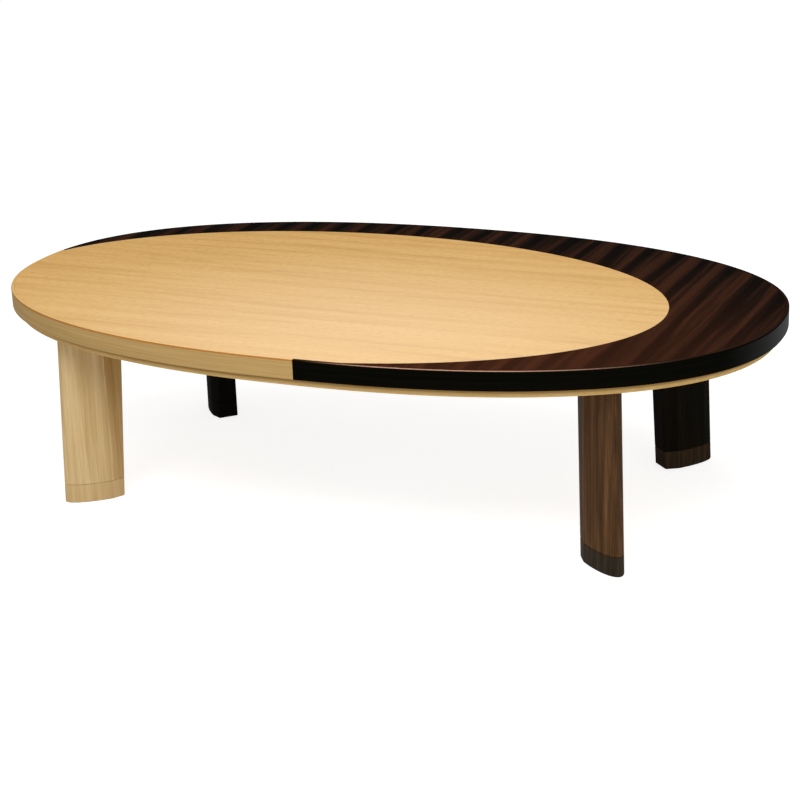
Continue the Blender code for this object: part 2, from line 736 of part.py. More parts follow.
def make_guard(heater):
    """A square guard under the heater: four bars and crossing wires."""
    outer = FLANGE_HALF
    for name, side in (("left", -1), ("right", 1)):
        xs = sorted((side * GUARD_IN, side * outer))
        bar = box("guard_bar_" + name, (xs[0], -outer, GUARD_LOW), (xs[1], outer, GUARD_TOP), PLASTIC, heater)
        holes = []
        for y in (-SCREW_AT, SCREW_AT):
            low = Vector((side * SCREW_AT, y, GUARD_LOW - GAP))
            high = Vector((side * SCREW_AT, y, GUARD_TOP + GAP))
            sink = Vector((side * SCREW_AT, y, GUARD_LOW + SCREW_SINK))
            holes.append((low, high, SCREW_RADIUS + GAP))
            holes.append((low, sink, SCREW_HEAD_RADIUS + GAP))
        drill(bar, holes)
    inner = GUARD_IN - GAP
    for name, side in (("front", -1), ("back", 1)):
        ys = sorted((side * GUARD_IN, side * outer))
        box("guard_bar_" + name, (-inner, ys[0], GUARD_LOW), (inner, ys[1], GUARD_TOP), PLASTIC, heater)

    along = bmesh.new()
    across = bmesh.new()
    lower = GUARD_LOW + WIRE_LIFT
    upper = lower + WIRE_RADIUS
    pitch = 2 * GUARD_IN / (WIRE_COUNT + 1)
    for step in range(WIRE_COUNT):
        spot = -GUARD_IN + pitch * (step + 1)
        add_rod(along, (-inner, spot, lower), (inner, spot, lower), WIRE_RADIUS, 6)
        add_rod(across, (spot, -inner, upper), (spot, inner, upper), WIRE_RADIUS, 6)
    wires = piece("guard_wires", mesh_of("guard_wires", along), STEEL, heater)
    combine(wires, across, "UNION", "cross_wires")


def make_heater_screws(heater):
    """Four screws through the guard and the pan's flange into the heater bars."""
    seat = GUARD_LOW + SCREW_SINK - GAP
    tip = GAP + SCREW_INTO_BAR
    screw = [(0, tip), (SCREW_RADIUS, tip), (SCREW_RADIUS, seat), (SCREW_HEAD_RADIUS, seat),
             (SCREW_HEAD_RADIUS, seat - SCREW_HEAD), (0, seat - SCREW_HEAD)]
    for corner, (x, y) in CORNERS.items():
        place = Matrix.Translation((x * SCREW_AT, y * SCREW_AT, 0))
        turned_piece("heater_screw_" + corner, screw, place, STEEL, heater, sides=10)


def make_inlet(heater):
    """The socket for the mains lead, on the guard's right side, and its two pins."""
    back = FLANGE_HALF + GAP
    front = back + INLET_LENGTH
    high = GUARD_TOP - INLET_DROP
    low = high - INLET_HEIGHT
    floor = front - INLET_DEPTH
    wide = INLET_WIDTH / 2
    body = bmesh.new()
    add_box(body, (back, INLET_Y - wide, low), (front, INLET_Y + wide, high))
    mouth = max(body.faces, key=lambda face: face.calc_center_median().x)
    bmesh.ops.inset_region(body, faces=[mouth], thickness=INLET_WALL, use_even_offset=True)
    sunk = bmesh.ops.extrude_discrete_faces(body, faces=[mouth])["faces"]
    for vert in sunk[0].verts:
        vert.co.x = floor
    bmesh.ops.recalc_face_normals(body, faces=body.faces)
    piece("cord_inlet", mesh_of("cord_inlet", body), PLASTIC, heater)

    along = Matrix.Rotation(math.pi / 2, 4, "Y")
    pin = [(0, PIN_LENGTH), (PIN_RADIUS, PIN_LENGTH), (PIN_RADIUS, 0), (0, 0)]
    for name, side in (("front", -1), ("back", 1)):
        spot = (floor + GAP, INLET_Y + side * PIN_SPACING / 2, (low + high) / 2)
        turned_piece("inlet_pin_" + name, pin, Matrix.Translation(spot) @ along, BRASS, heater, sides=12)


def make_electrics(heater):
    """Terminal block and thermostat on the reflector."""
    low = REFLECTOR_RISE + GAP
    spots = {"terminal_block": (0, TERMINAL_SIZE, CERAMIC),
             "thermostat": (THERMOSTAT_X, THERMOSTAT_SIZE, PLASTIC)}
    for name, (x, size, look) in spots.items():
        near = (x - size[0] / 2, WIRING_Y - size[1] / 2, low)
        far = (x + size[0] / 2, WIRING_Y + size[1] / 2, low + size[2])
        box(name, near, far, look, heater)


def make_heater():
    """The heater unit, hung under its bay."""
    heater = empty("heater", (0, 0, HEATER_Z))
    make_housing(heater)
    make_tubes(heater)
    make_fan(heater)
    make_guard(heater)
    make_heater_screws(heater)
    make_inlet(heater)
    make_electrics(heater)


make_top()
make_rim()
make_blocks()
make_rails()
make_bars()
make_legs()
make_feet()
make_bolts()
make_heater()
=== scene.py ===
import json
import math

import bmesh
import bpy
from mathutils import Matrix, Vector


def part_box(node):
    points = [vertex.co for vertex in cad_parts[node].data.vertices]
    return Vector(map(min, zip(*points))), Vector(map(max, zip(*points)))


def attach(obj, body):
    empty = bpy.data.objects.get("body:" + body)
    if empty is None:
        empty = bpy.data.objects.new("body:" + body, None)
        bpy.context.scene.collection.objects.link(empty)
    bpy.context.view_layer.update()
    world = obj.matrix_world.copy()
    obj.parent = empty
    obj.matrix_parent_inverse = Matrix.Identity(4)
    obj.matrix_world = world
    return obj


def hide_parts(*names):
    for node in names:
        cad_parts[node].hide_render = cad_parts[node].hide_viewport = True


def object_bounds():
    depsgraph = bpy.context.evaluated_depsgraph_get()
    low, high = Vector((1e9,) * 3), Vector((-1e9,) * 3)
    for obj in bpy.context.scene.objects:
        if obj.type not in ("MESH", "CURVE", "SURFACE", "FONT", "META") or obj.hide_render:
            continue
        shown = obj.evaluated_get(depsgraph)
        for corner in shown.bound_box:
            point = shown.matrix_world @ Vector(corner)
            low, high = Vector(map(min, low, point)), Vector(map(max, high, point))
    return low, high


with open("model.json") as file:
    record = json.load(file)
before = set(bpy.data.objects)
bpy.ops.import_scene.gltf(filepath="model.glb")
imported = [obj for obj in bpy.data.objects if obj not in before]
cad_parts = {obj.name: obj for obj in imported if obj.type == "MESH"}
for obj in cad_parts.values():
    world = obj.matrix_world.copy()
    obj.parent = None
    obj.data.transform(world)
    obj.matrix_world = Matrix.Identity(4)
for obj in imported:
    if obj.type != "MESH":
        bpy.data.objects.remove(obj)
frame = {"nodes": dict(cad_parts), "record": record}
CAD_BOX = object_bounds()

# The looks of a low oval table: two-tone top, oval rim, four leg fins with pull-off feet and a
# heater under the frame. Metres, +Z up, with the origin on the floor under the middle of the top.

# Outline of the top and its light oval
HALF_LENGTH = CAD_BOX[1].x
HALF_WIDTH = CAD_BOX[1].y
TOP_LEVEL = CAD_BOX[1].z
OUTLINE_POWER = 2.25
OVAL_RIGHT_SHORT = 0.198
OVAL_BACK_SHORT = 0.093
OVAL_LEFT_PAST = 0.016
OVAL_FRONT_PAST = 0.014
EDGE_MEETS_BACK = math.radians(173.2)
EDGE_MEETS_FRONT = math.radians(271.25)
OVAL_ALONG = HALF_LENGTH + (OVAL_LEFT_PAST - OVAL_RIGHT_SHORT) / 2
OVAL_ACROSS = HALF_WIDTH + (OVAL_FRONT_PAST - OVAL_BACK_SHORT) / 2
OVAL_X = HALF_LENGTH - OVAL_RIGHT_SHORT - OVAL_ALONG
OVAL_Y = HALF_WIDTH - OVAL_BACK_SHORT - OVAL_ACROSS
FINE_STEP = math.radians(1)
OUTLINE_NEAR = 0.0005
HALVINGS = 50
# A turn where the light oval covers the outline, and turns behind and in front of it where it doesn't
LIGHT_TURN = math.radians(225)
DARK_TURNS = (math.radians(135), math.radians(315))

# Where along +X the line on each band's arris begins, is full, fades and ends: a darker line on the light
# band, a painted highlight on the dark band
LIGHT_LINE = (-0.72, -0.6, 0.1, 0.2)
DARK_LINE = (0.03, 0.18, 0.34, 0.68)
# Where along +X a band turns glossy towards the table's end
GLOSSY_END = (0.69, 0.752)
# Where the line fades in, as shares of its depth, and where the flat top begins, as shares of the arris
LINE_FADES = (1.3, 0.7)
FLAT_BEGINS = (0.15, 0.02)
# Sizes of a band's streaks and fibres, which run round the table
BAND_STREAK = (0.5, 0.5, 0.0035)
BAND_FIBRE = (0.09, 0.09, 0.0008)

# Where the painted sheen on the veneers is palest, and how far it reaches on each axis
SHEEN_PLACE = (0.1, -0.3, TOP_LEVEL)
SHEEN_REACH = (1.0, 0.75, 1.0)

# Top board and rim
JOINT = 0.0003
EDGE_WIDTH = 0.006
TOP_ARRIS = 0.0018
UNDER_ARRIS = 0.002
RIM_ARRIS = 0.0025
EDGE_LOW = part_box("dark_edge")[0].z
VENEER_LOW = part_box("light_veneer")[0].z
RIM_LOW, RIM_HIGH = (corner.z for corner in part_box("rim_right"))
RIM_INSET = HALF_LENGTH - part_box("rim_right")[1].x
RIM_IN_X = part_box("rim_right")[0].x
RIM_IN_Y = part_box("rim_back")[0].y

# Leg fins and feet, in the frame of their seats
SEAT_X = 0.4585
SEAT_Y = 0.2085
LEG_LENGTH = 0.129
LEG_NOSE = 0.0855
LEG_HALF_WIDE = 0.0273
LEG_HALF_END = 0.0145
LEG_TAPER = 0.0185
LEG_LEAN = 0.0137
NOSE_START = LEG_LENGTH - LEG_NOSE
NOSE_STEPS = 48
CREASE_ROUND = 0.003
LEG_ARRIS = 0.0012
SEAM_ARRIS = 0.0012
FOOT_ARRIS = 0.0025
BLOCK_LOW, LEG_HIGH = (corner.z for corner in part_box("corner_block_front_left"))
FOOT_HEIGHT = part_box("foot_front_left")[1].z
TONGUE_THICK = 0.012
TONGUE_WIDTH = 0.05
TONGUE_UP = 0.03
TONGUE_DOWN = 0.025
TONGUE_EDGE = 0.02
TONGUE_ARRIS = 0.001

# Painted shade in a strip along a leg's inner end, with a ragged edge
STRIP_WIDTH = 0.038
STRIP_RAGGED = 0.016
STRIP_TEARS = (0.09, 0.012)
STRIP_FADE = 0.001
STRIP_AT_FOOT = 0.62

# Frame under the rim
BLOCK_ARRIS = 0.0012
RAIL_ARRIS = 0.002
BAR_ARRIS = 0.0012

# Bolts and screws, and the share of a head that its socket or cross goes down
BOLT_LEVEL = (BLOCK_LOW + LEG_HIGH) / 2
BOLT_RADIUS = 0.005
BOLT_HEAD_RADIUS = 0.009
BOLT_HEAD = 0.007
BOLT_INTO_LEG = 0.045
BOLT_SEAT = 0.0597
BOLT_HOLE_STEPS = 32
KEY_RADIUS = 0.0046
KEY_SIDES = 6
SCREW_RADIUS = 0.002
SCREW_HEAD_RADIUS = 0.004
SCREW_HEAD = 0.0024
CROSS_LENGTH = 0.0044
CROSS_WIDTH = 0.0009
SCREW_STEPS = 32
SCREW_HOLE_STEPS = 24
HEAD_ROUND = 0.0008
SOCKET_SHARE = 0.6

# Heater
PAN_SHEET = 0.0012
PAN_HALF = 0.138
PAN_BEND = 0.006
PANEL_INSET = 0.024
PANEL_SLOPE = 0.005
PANEL_RISE = 0.0016
REFLECTOR_SHEET = 0.0008
REFLECTOR_SKIRT = 0.0145
REFLECTOR_BEND = 0.005
SHAFT_HOLE = 0.006
HOLDER_ARRIS = 0.001
TUBE_WALL = 0.0012
RIBBON_TURNS = 7
RIBBON_CUTS = 220
GUARD_ARRIS = 0.0018
WIRE_COUNT = 7
WIRE_STEPS = 16
MOTOR_ROUND = 0.002
HUB_RADIUS = 0.011
FAN_DISC = 0.0014
FAN_STEPS = 64
FAN_BLADES = 8
BLADE_HEIGHT = 0.01
BLADE_THICK = 0.0014
SHAFT_RADIUS = 0.002
HUB_HEIGHT = 0.0155
INLET_ARRIS = 0.001
PIN_ROUND = 0.0009
PIN_STEPS = 24
SMALL_ARRIS = 0.0008

# Shading and clean-up
WELD = 0.00002
FLAT_TURN = math.radians(1)
EASED_TURN = math.radians(35)
SHARP_TURN = math.radians(50)
ROUND_STEPS = 40

# Camera, as fitted to the photograph's outline
CAMERA_PLACE = (1.452, -3.273, 1.415)
CAMERA_TURN = 0.4118
CAMERA_PITCH = 0.3369
CAMERA_ROLL = -0.03716
CAMERA_LENS = 89.5

# Studio
FLOOR_HALF = 60.0
FLOOR_DROP = 0.0004
FLOOR_GLOW = 0.82
FLOOR_SEEN = 0.5
FLOOR_TONE = 0.72
WORLD_LEVEL = 0.36

# Lamps: where each stands, where it aims, its size and its power
LAMPS = {
    "overhead": ((0.4, -0.4, 3.1), (0, 0, 0.35), (2.4, 1.8), 32),
    "front_key": ((0.4, -2.3, 2.7), (0, 0, 0.2), (2.6, 1.0), 60),
    "side_fill": ((2.6, -2.2, 1.3), (0, 0, 0.2), (2.6, 1.4), 18),
}

CORNERS = {
    "front_left": (-1, -1),
    "front_right": (1, -1),
    "back_right": (1, 1),
    "back_left": (-1, 1),
}
SIDES = ("front", "back", "left", "right")
BODY_OF = {node: body for body, nodes in frame["record"]["behaviour"]["bodies"].items() for node in nodes}


# Finishes: the node tools that they share

def tone(red, green, blue):
    """A colour as it shows on screen, from 0 to 255, as the light that it stands for."""
    shares = [level / 255 for level in (red, green, blue)]
    return tuple(share / 12.92 if share < 0.04045 else ((share + 0.055) / 1.055) ** 2.4 for share in shares)


def add_node(tree, kind, inputs=(), **settings):
    """One node with its settings, and its inputs given as values or as other nodes' outputs."""
    node = tree.nodes.new("ShaderNode" + kind)
    for setting, value in settings.items():
        setattr(node, setting, value)
    for socket, value in dict(inputs).items():
        if isinstance(value, bpy.types.NodeSocket):
            tree.links.new(value, node.inputs[socket])
        else:
            node.inputs[socket].default_value = value
    return node


class Finish:
    """One material: its nodes, its main shader and the name of a slot of the record, which is kept but not
    used.
    """

    def __init__(self, name, slot, **sockets):
        self.slot = slot
        self.material = bpy.data.materials.new(name)
        self.material.use_nodes = True
        self.tree = self.material.node_tree
        self.shader = self.tree.nodes["Principled BSDF"]
        for socket, value in sockets.items():
            self.shader.inputs[socket.replace("_", " ")].default_value = value
        self.place = self.add("TexCoord").outputs["Object"]

    def add(self, kind, inputs=(), **settings):
        """One node of this material."""
        return add_node(self.tree, kind, inputs, **settings)

    def lead(self, socket, value):
        """Leads a pattern to a socket of the shader."""
        self.tree.links.new(value, self.shader.inputs[socket])

    def at(self, size=(1, 1, 1), turn=0.0, place=(0, 0, 0)):
        """Coordinates from a place, turned about +Z, with a unit of this size on each axis."""
        inputs = {"Vector": self.place, "Location": place, "Rotation": (0, 0, turn), "Scale": size}
        return self.add("Mapping", inputs, vector_type="TEXTURE").outputs["Vector"]

    def cloud(self, spot, detail=2.0, rough=0.5, bend=0.0):
        """A soft random pattern, about 0.5 on average."""
        inputs = {"Vector": spot, "Scale": 1.0, "Detail": detail, "Roughness": rough, "Distortion": bend}
        return self.add("TexNoise", inputs).outputs["Fac"]

    def sum(self, first, second, kind="ADD"):
        """Two numbers added, or combined as kind says."""
        return self.add("Math", {0: first, 1: second}, operation=kind).outputs[0]

    def weigh(self, *pairs):
        """Patterns added together, each by its share."""
        total = 0.0
        for pattern, share in pairs:
            total = self.sum(self.sum(pattern, share, "MULTIPLY"), total)
        return total

    def step(self, value, low, high, start=0.0, stop=1.0):
        """A smooth change from start to stop as a value goes from low to high."""
        inputs = {"Value": value, "From Min": low, "From Max": high, "To Min": start, "To Max": stop}
        return self.add("MapRange", inputs, interpolation_type="SMOOTHSTEP").outputs["Result"]

    def ramp(self, factor, *stops):
        """Colours along a factor, from stops of a position and a colour."""
        node = self.add("ValToRGB", {"Fac": factor})
        elements = node.color_ramp.elements
        elements.remove(elements[1])
        elements[0].position = stops[0][0]
        elements[0].color = (*stops[0][1], 1)
        for position, colour in stops[1:]:
            elements.new(position).color = (*colour, 1)
        return node.outputs["Color"]

    def blend(self, factor, first, second, kind="MIX"):
        """One colour laid over another. A colour is a tone or another node's output."""
        inputs = {0: factor}
        for socket, colour in ((6, first), (7, second)):
            inputs[socket] = colour if isinstance(colour, bpy.types.NodeSocket) else (*colour, 1)
        return self.add("Mix", inputs, data_type="RGBA", blend_type=kind).outputs[2]

    def axis(self, letter, spot=None):
        """One coordinate of the piece's own place, or of another spot."""
        return self.add("SeparateXYZ", {"Vector": spot or self.place}).outputs[letter]

    def paint(self, colour):
        """The shader's colour."""
        self.lead("Base Color", colour)

    def gloss(self, roughness):
        """The shader's roughness."""
        self.lead("Roughness", roughness)

    def relief(self, height, depth):
        """Fine unevenness of the surface, up to a depth in metres."""
        bump = self.add("Bump", {"Height": height, "Strength": 1.0, "Distance": depth})
        self.lead("Normal", bump.outputs["Normal"])


# Finishes: woods

# Length and width of a fibre and of a pore, and how many times its width a broad band is long
FIBRE_SIZE = (0.07, 0.0011)
PORE_SIZE = (0.014, 0.0007)
BAND_STRETCH = 22
COAT_ROUGHNESS = 0.22


def grain_size(length, width, upright):
    """The size of a streak: long along local +X, or along +Z where the grain stands upright."""
    return (width, width, length) if upright else (length, width, width)


def wood(finish, dark, middle, light, turn=0.0, place=(0, 0, 0), upright=False, bands=None, band=0.03,
         streak=0.006, stretch=60, shares=(0.45, 0.35, 0.2), spread=0.13, pore=0.25, depth=0.00005):
    """Wood with broad bands, streaks, fibres and pores along its grain. Returns its colour."""
    def pattern(length, width, detail, bend=0.0):
        return finish.cloud(finish.at(grain_size(length, width, upright), turn, place), detail, 0.55, bend)

    bands = bands or pattern(band * BAND_STRETCH, band, 2.0, 0.4)
    streaks = pattern(streak * stretch, streak, 3.0)
    fibres = pattern(*FIBRE_SIZE, 2.0)
    pores = finish.step(pattern(*PORE_SIZE, 0.0), 0.62, 0.74)
    figure = finish.weigh((bands, shares[0]), (streaks, shares[1]), (fibres, shares[2]))
    colour = finish.ramp(figure, (0.5 - spread, dark), (0.5, middle), (0.5 + spread, light))
    colour = finish.blend(finish.sum(pores, pore, "MULTIPLY"), colour, dark)
    finish.relief(finish.weigh((fibres, 0.6), (pores, -0.8)), depth)
    rough = finish.shader.inputs["Roughness"].default_value
    finish.gloss(finish.step(figure, 0.3, 0.7, rough + 0.07, rough - 0.05))
    return colour


def lacquered(name, slot, roughness, coat):
    """A satin lacquered finish with a thin clear coat."""
    return Finish(name, slot, Roughness=roughness, Specular_IOR_Level=0.0,
                  Coat_Weight=coat, Coat_Roughness=COAT_ROUGHNESS)


# The veneers: their dark, middle and light tones, and the tone and largest share of their painted sheen
LIGHT_TONES = (tone(193, 144, 76), tone(212, 167, 98), tone(218, 175, 108))
LIGHT_SHEEN_TONE = tone(255, 228, 190)
LIGHT_SHEEN_SHARE = 0.35
DARK_TONES = (tone(6, 4, 2), tone(26, 15, 8), tone(55, 30, 18))
DARK_SHEEN_TONE = tone(110, 58, 34)
DARK_SHEEN_SHARE = 0.24

# Short flecks in the light veneer
FLECK_SIZE = (0.014, 0.0045, 0.0045)
FLECK_TONE = tone(186, 136, 68)
FLECK_SHARE = 0.32

# The dark veneer's leaves: their width, and how pale the wood is from one side of a leaf to the other
LEAF_TURN = math.radians(88.5)
LEAF_PLACE = (0.585, 0.0, 0.0)
LEAF_WIDTH = 0.0615
LEAF_WANDER = 1.0
LEAF_WAVE = (0.7, 0.11, 0.11)
LEAF_STRIPES = (
    (0.0, 0.33),
    (0.08, 0.33),
    (0.24, 0.55),
    (0.37, 0.48),
    (0.5, 0.6),
    (0.6, 0.62),
    (0.74, 0.57),
    (0.89, 0.34),
)


def painted_sheen(finish, most):
    """A painted sheen: a share that fades evenly away from the place where the veneers are painted palest."""
    away = finish.add("VectorMath", {0: finish.at(SHEEN_REACH, place=SHEEN_PLACE)}, operation="LENGTH")
    return finish.step(away.outputs["Value"], 0.0, 1.0, most, 0.0)


def light_veneer_finish():
    """Pale veneer with quiet grain along the table, and a painted sheen that is palest towards the front."""
    finish = lacquered("light_veneer_lacquer", "light_veneer", 0.42, 0.1)
    colour = wood(finish, *LIGHT_TONES, band=0.026, streak=0.0034, stretch=24,
                  shares=(0.46, 0.24, 0.3), spread=0.145, pore=0.2)
    flecks = finish.cloud(finish.at(FLECK_SIZE), 1.0)
    colour = finish.blend(finish.step(flecks, 0.42, 0.68, 0.0, FLECK_SHARE), colour, FLECK_TONE)
    # Painted sheen, palest towards the front
    finish.paint(finish.blend(painted_sheen(finish, LIGHT_SHEEN_SHARE), colour, LIGHT_SHEEN_TONE))
    return finish


def dark_veneer_finish():
    """Dark veneer with its grain across the table, in matched leaves that repeat a dark stripe."""
    finish = lacquered("dark_veneer_lacquer", "dark_veneer", 0.4, 0.014)
    wander = finish.cloud(finish.at(LEAF_WAVE, LEAF_TURN), 2.0)
    across = finish.axis("Y", finish.at((LEAF_WIDTH,) * 3, LEAF_TURN, LEAF_PLACE))
    leaf = finish.sum(finish.weigh((across, -1.0), (wander, LEAF_WANDER)), -LEAF_WANDER / 2)
    stops = [(share, (pale,) * 3) for share, pale in LEAF_STRIPES]
    stripes = finish.ramp(finish.sum(leaf, 0.0, "FRACT"), *stops)
    bands = finish.weigh((stripes, 0.75), (wander, 0.25))
    colour = wood(finish, *DARK_TONES, turn=LEAF_TURN, bands=bands, streak=0.008,
                  shares=(0.66, 0.2, 0.14), spread=0.08, pore=0.5)
    # Painted sheen, palest towards the front
    finish.paint(finish.blend(painted_sheen(finish, DARK_SHEEN_SHARE), colour, DARK_SHEEN_TONE))
    return finish


def edge_finish(name, slot, tones, face, coat, span, line_tone, line_depth, line_coat, end_coat):
    """An edge band: streaks round the table, a line along its top arris, darker on the light band and a
    painted highlight on the dark band, and the veneer's tone with its painted sheen on top.
    """
    finish = lacquered(name, slot, 0.4, coat)
    streaks = finish.cloud(finish.at(BAND_STREAK), 3.0, 0.6)
    fibres = finish.cloud(finish.at(BAND_FIBRE), 2.0)
    figure = finish.weigh((streaks, 0.55), (fibres, 0.45))
    colour = finish.ramp(figure, (0.34, tones[0]), (0.5, tones[1]), (0.66, tones[2]))
    level = finish.axis("Z")
    above = finish.step(level, *(TOP_LEVEL - line_depth * share for share in LINE_FADES))
    flat = finish.step(level, *(TOP_LEVEL - TOP_ARRIS * share for share in FLAT_BEGINS))
    x = finish.axis("X")
    # Where along the band the arris line shows: a darker line on the light band, a painted highlight on the
    # dark band
    arris_line_span = finish.sum(finish.step(x, *span[:2]), finish.step(x, *span[2:], 1.0, 0.0), "MULTIPLY")
    line = finish.sum(finish.sum(above, flat, "SUBTRACT"), arris_line_span, "MULTIPLY")
    # The veneer's tone on the band's top, with the veneer's painted sheen
    tone_on_top, top_sheen_tone, most = face
    on_top = finish.blend(painted_sheen(finish, most), tone_on_top, top_sheen_tone)
    finish.paint(finish.blend(flat, finish.blend(line, colour, line_tone), on_top))
    below = finish.step(level, TOP_LEVEL - TOP_ARRIS * 2, TOP_LEVEL - TOP_ARRIS, end_coat - coat, 0.0)
    glossy = finish.sum(finish.step(x, *GLOSSY_END), below, "MULTIPLY")
    polish = finish.sum(finish.weigh((line, line_coat - coat), (glossy, 1.0)), coat)
    finish.lead("Coat Weight", polish)
    finish.relief(fibres, 0.00003)
    finish.gloss(finish.step(figure, 0.3, 0.7, 0.45, 0.35))
    return finish


# Looks of the legs: a name, the slot and the coat
LEG_LOOKS = {
    "front_left": ("light", "light_leg_wood", 0.08),
    "front_right": ("brown", "dark_leg_wood", 0.09),
    "back_right": ("dark", "dark_leg_wood", 0.03),
    "back_left": ("black", "dark_leg_wood", 0.03),
}
# Dark, middle and light tones of each leg and of its foot. The back legs' dark and black tones are shaded
# copies of the brown leg's wood: painted shade under the back of the table
LEG_TONES = {
    "light": (tone(188, 155, 102), tone(212, 183, 134), tone(225, 200, 157)),
    "brown": (tone(45, 30, 17), tone(80, 55, 32), tone(122, 85, 52)),
    "dark": (tone(8, 7, 3), tone(18, 15, 9), tone(32, 26, 17)),
    "black": (tone(8, 7, 3), tone(16, 13, 8), tone(28, 23, 15)),
}
FOOT_TONES = {
    "light": (tone(188, 156, 106), tone(204, 174, 125), tone(216, 188, 142)),
    "brown": (tone(28, 23, 16), tone(48, 40, 29), tone(70, 58, 43)),
    "dark": (tone(34, 26, 17), tone(56, 43, 30), tone(78, 61, 45)),
    "black": (tone(8, 6, 3), tone(15, 12, 7), tone(26, 20, 13)),
}
# What the painted shade in the strip along a leg's inner end takes off the leg's colour
SHADE_STRIP_TONES = {
    "light": tone(220, 204, 177),
    "brown": tone(186, 184, 182),
    "dark": tone(215, 210, 205),
    "black": tone(215, 210, 205),
}


def leg_finish(corner, strip):
    """Upright grain on a leg or foot, with painted shade in a strip along the inner end where asked."""
    x, y = CORNERS[corner]
    turn = math.atan2(y, x)
    place = (x * SEAT_X, y * SEAT_Y, 0)
    look, slot, coat = LEG_LOOKS[corner]
    finish = lacquered(look + ("_leg_lacquer" if strip else "_foot_lacquer"), slot, 0.42, coat)
    tones = LEG_TONES[look] if strip else FOOT_TONES[look]
    colour = wood(finish, *tones, turn=turn, place=place, upright=True, band=0.016, streak=0.004,
                  shares=(0.5, 0.25, 0.25), spread=0.17, pore=0.12)
    if strip:
        # Painted shade in a strip along the inner end, fainter towards the foot
        along = finish.axis("X", finish.at(turn=turn, place=place))
        ragged = finish.cloud(finish.at(grain_size(*STRIP_TEARS, True), turn, place), 3.0, 0.6)
        along = finish.weigh((along, 1.0), (ragged, STRIP_RAGGED))
        edge = STRIP_WIDTH + STRIP_RAGGED / 2
        inside = finish.step(along, edge - STRIP_FADE, edge + STRIP_FADE, 1.0, 0.0)
        depth = finish.step(finish.axis("Z"), FOOT_HEIGHT, BLOCK_LOW, STRIP_AT_FOOT, 1.0)
        painted_shade = finish.sum(inside, depth, "MULTIPLY")
        colour = finish.blend(painted_shade, colour, SHADE_STRIP_TONES[look], "MULTIPLY")
    finish.paint(colour)
    return finish


# Rim and frame: their tones, and the painted shadow along the seam on the rim, full and faded at depths under
# the top
RIM_TONES = (tone(204, 166, 102), tone(216, 179, 114), tone(226, 190, 127))
SEAM_SHADOW_TONE = tone(122, 80, 36)
SEAM_SHADOW_SHARE = 0.62
SEAM_SHADOW_FULL = 0.0055
SEAM_SHADOW_FADES = 0.0102
BARE_TONES = (tone(174, 132, 74), tone(205, 165, 102), tone(224, 188, 128))


def frame_wood_finish(name, slot, tones, turn, upright=False, seam=False):
    """Plain pale wood of the rim and frame, lightly sealed, with a painted shadow along the seam under the
    top where asked.
    """
    finish = lacquered(name, slot, 0.55, 0.05)
    colour = wood(finish, *tones, turn=turn, upright=upright, band=0.016, streak=0.004,
                  shares=(0.4, 0.35, 0.25), spread=0.17, pore=0.25)
    if seam:
        # Painted shadow of the top on the rim, along the seam under it
        level = finish.axis("Z")
        seam_shadow = finish.step(level, EDGE_LOW - SEAM_SHADOW_FADES, EDGE_LOW - SEAM_SHADOW_FULL, 0.0, SEAM_SHADOW_SHARE)
        colour = finish.blend(seam_shadow, colour, SEAM_SHADOW_TONE)
    finish.paint(colour)
    return finish


def board_finish():
    """Pressed chips of the core board."""
    finish = Finish("chip_board", "board", Roughness=0.85, Specular_IOR_Level=0.1)
    chips = finish.add("TexVoronoi", {"Vector": finish.at((0.006, 0.002, 0.002)), "Scale": 1.0})
    shade = finish.sum(chips.outputs["Distance"], 0.8, "MULTIPLY")
    finish.paint(finish.ramp(shade, (0.1, tone(176, 140, 96)), (0.5, tone(148, 112, 72)),
                             (0.8, tone(112, 80, 48))))
    finish.relief(shade, 0.0002)
    return finish


def backing_finish():
    """Sealed paper face under the top board, with a faint fibre."""
    finish = Finish("backing_paper", "backing", Roughness=0.7, Specular_IOR_Level=0.2)
    flecks = finish.cloud(finish.at((0.004, 0.0012, 0.004)), 3.0, 0.6)
    clouds = finish.cloud(finish.at((0.3, 0.3, 0.3)), 3.0)
    mottled = finish.weigh((flecks, 0.6), (clouds, 0.4))
    finish.paint(finish.ramp(mottled, (0.35, tone(150, 118, 80)), (0.5, tone(174, 141, 99)),
                             (0.65, tone(192, 161, 119))))
    finish.relief(flecks, 0.00004)
    return finish


# Finishes: metals, ceramics and plastics

def metal_finish(name, slot, dull, bright, roughness, brush, spread=0.1):
    """Bare metal with fine brushing and slight stains."""
    finish = Finish(name, slot, Metallic=1.0, Roughness=roughness)
    lines = finish.cloud(finish.at(brush), 3.0, 0.6)
    stains = finish.cloud(finish.at((0.02, 0.02, 0.02)), 4.0)
    arris_line_span = finish.weigh((lines, 0.4), (stains, 0.6))
    finish.paint(finish.ramp(arris_line_span, (0.35, dull), (0.65, bright)))
    finish.gloss(finish.step(arris_line_span, 0.3, 0.7, roughness + spread, max(0.05, roughness - spread)))
    finish.relief(lines, 0.000015)
    return finish


def speckled_finish(name, slot, dark, light, roughness, speck, depth):
    """A grainy moulded, fired or powder coated surface."""
    finish = Finish(name, slot, Roughness=roughness, Specular_IOR_Level=0.5)
    specks = finish.cloud(finish.at((speck,) * 3), 2.0, 0.6)
    clouds = finish.cloud(finish.at((0.05,) * 3), 3.0)
    figure = finish.weigh((specks, 0.6), (clouds, 0.4))
    finish.paint(finish.ramp(figure, (0.36, dark), (0.64, light)))
    finish.gloss(finish.step(clouds, 0.3, 0.7, roughness + 0.08, roughness - 0.08))
    finish.relief(specks, depth)
    return finish


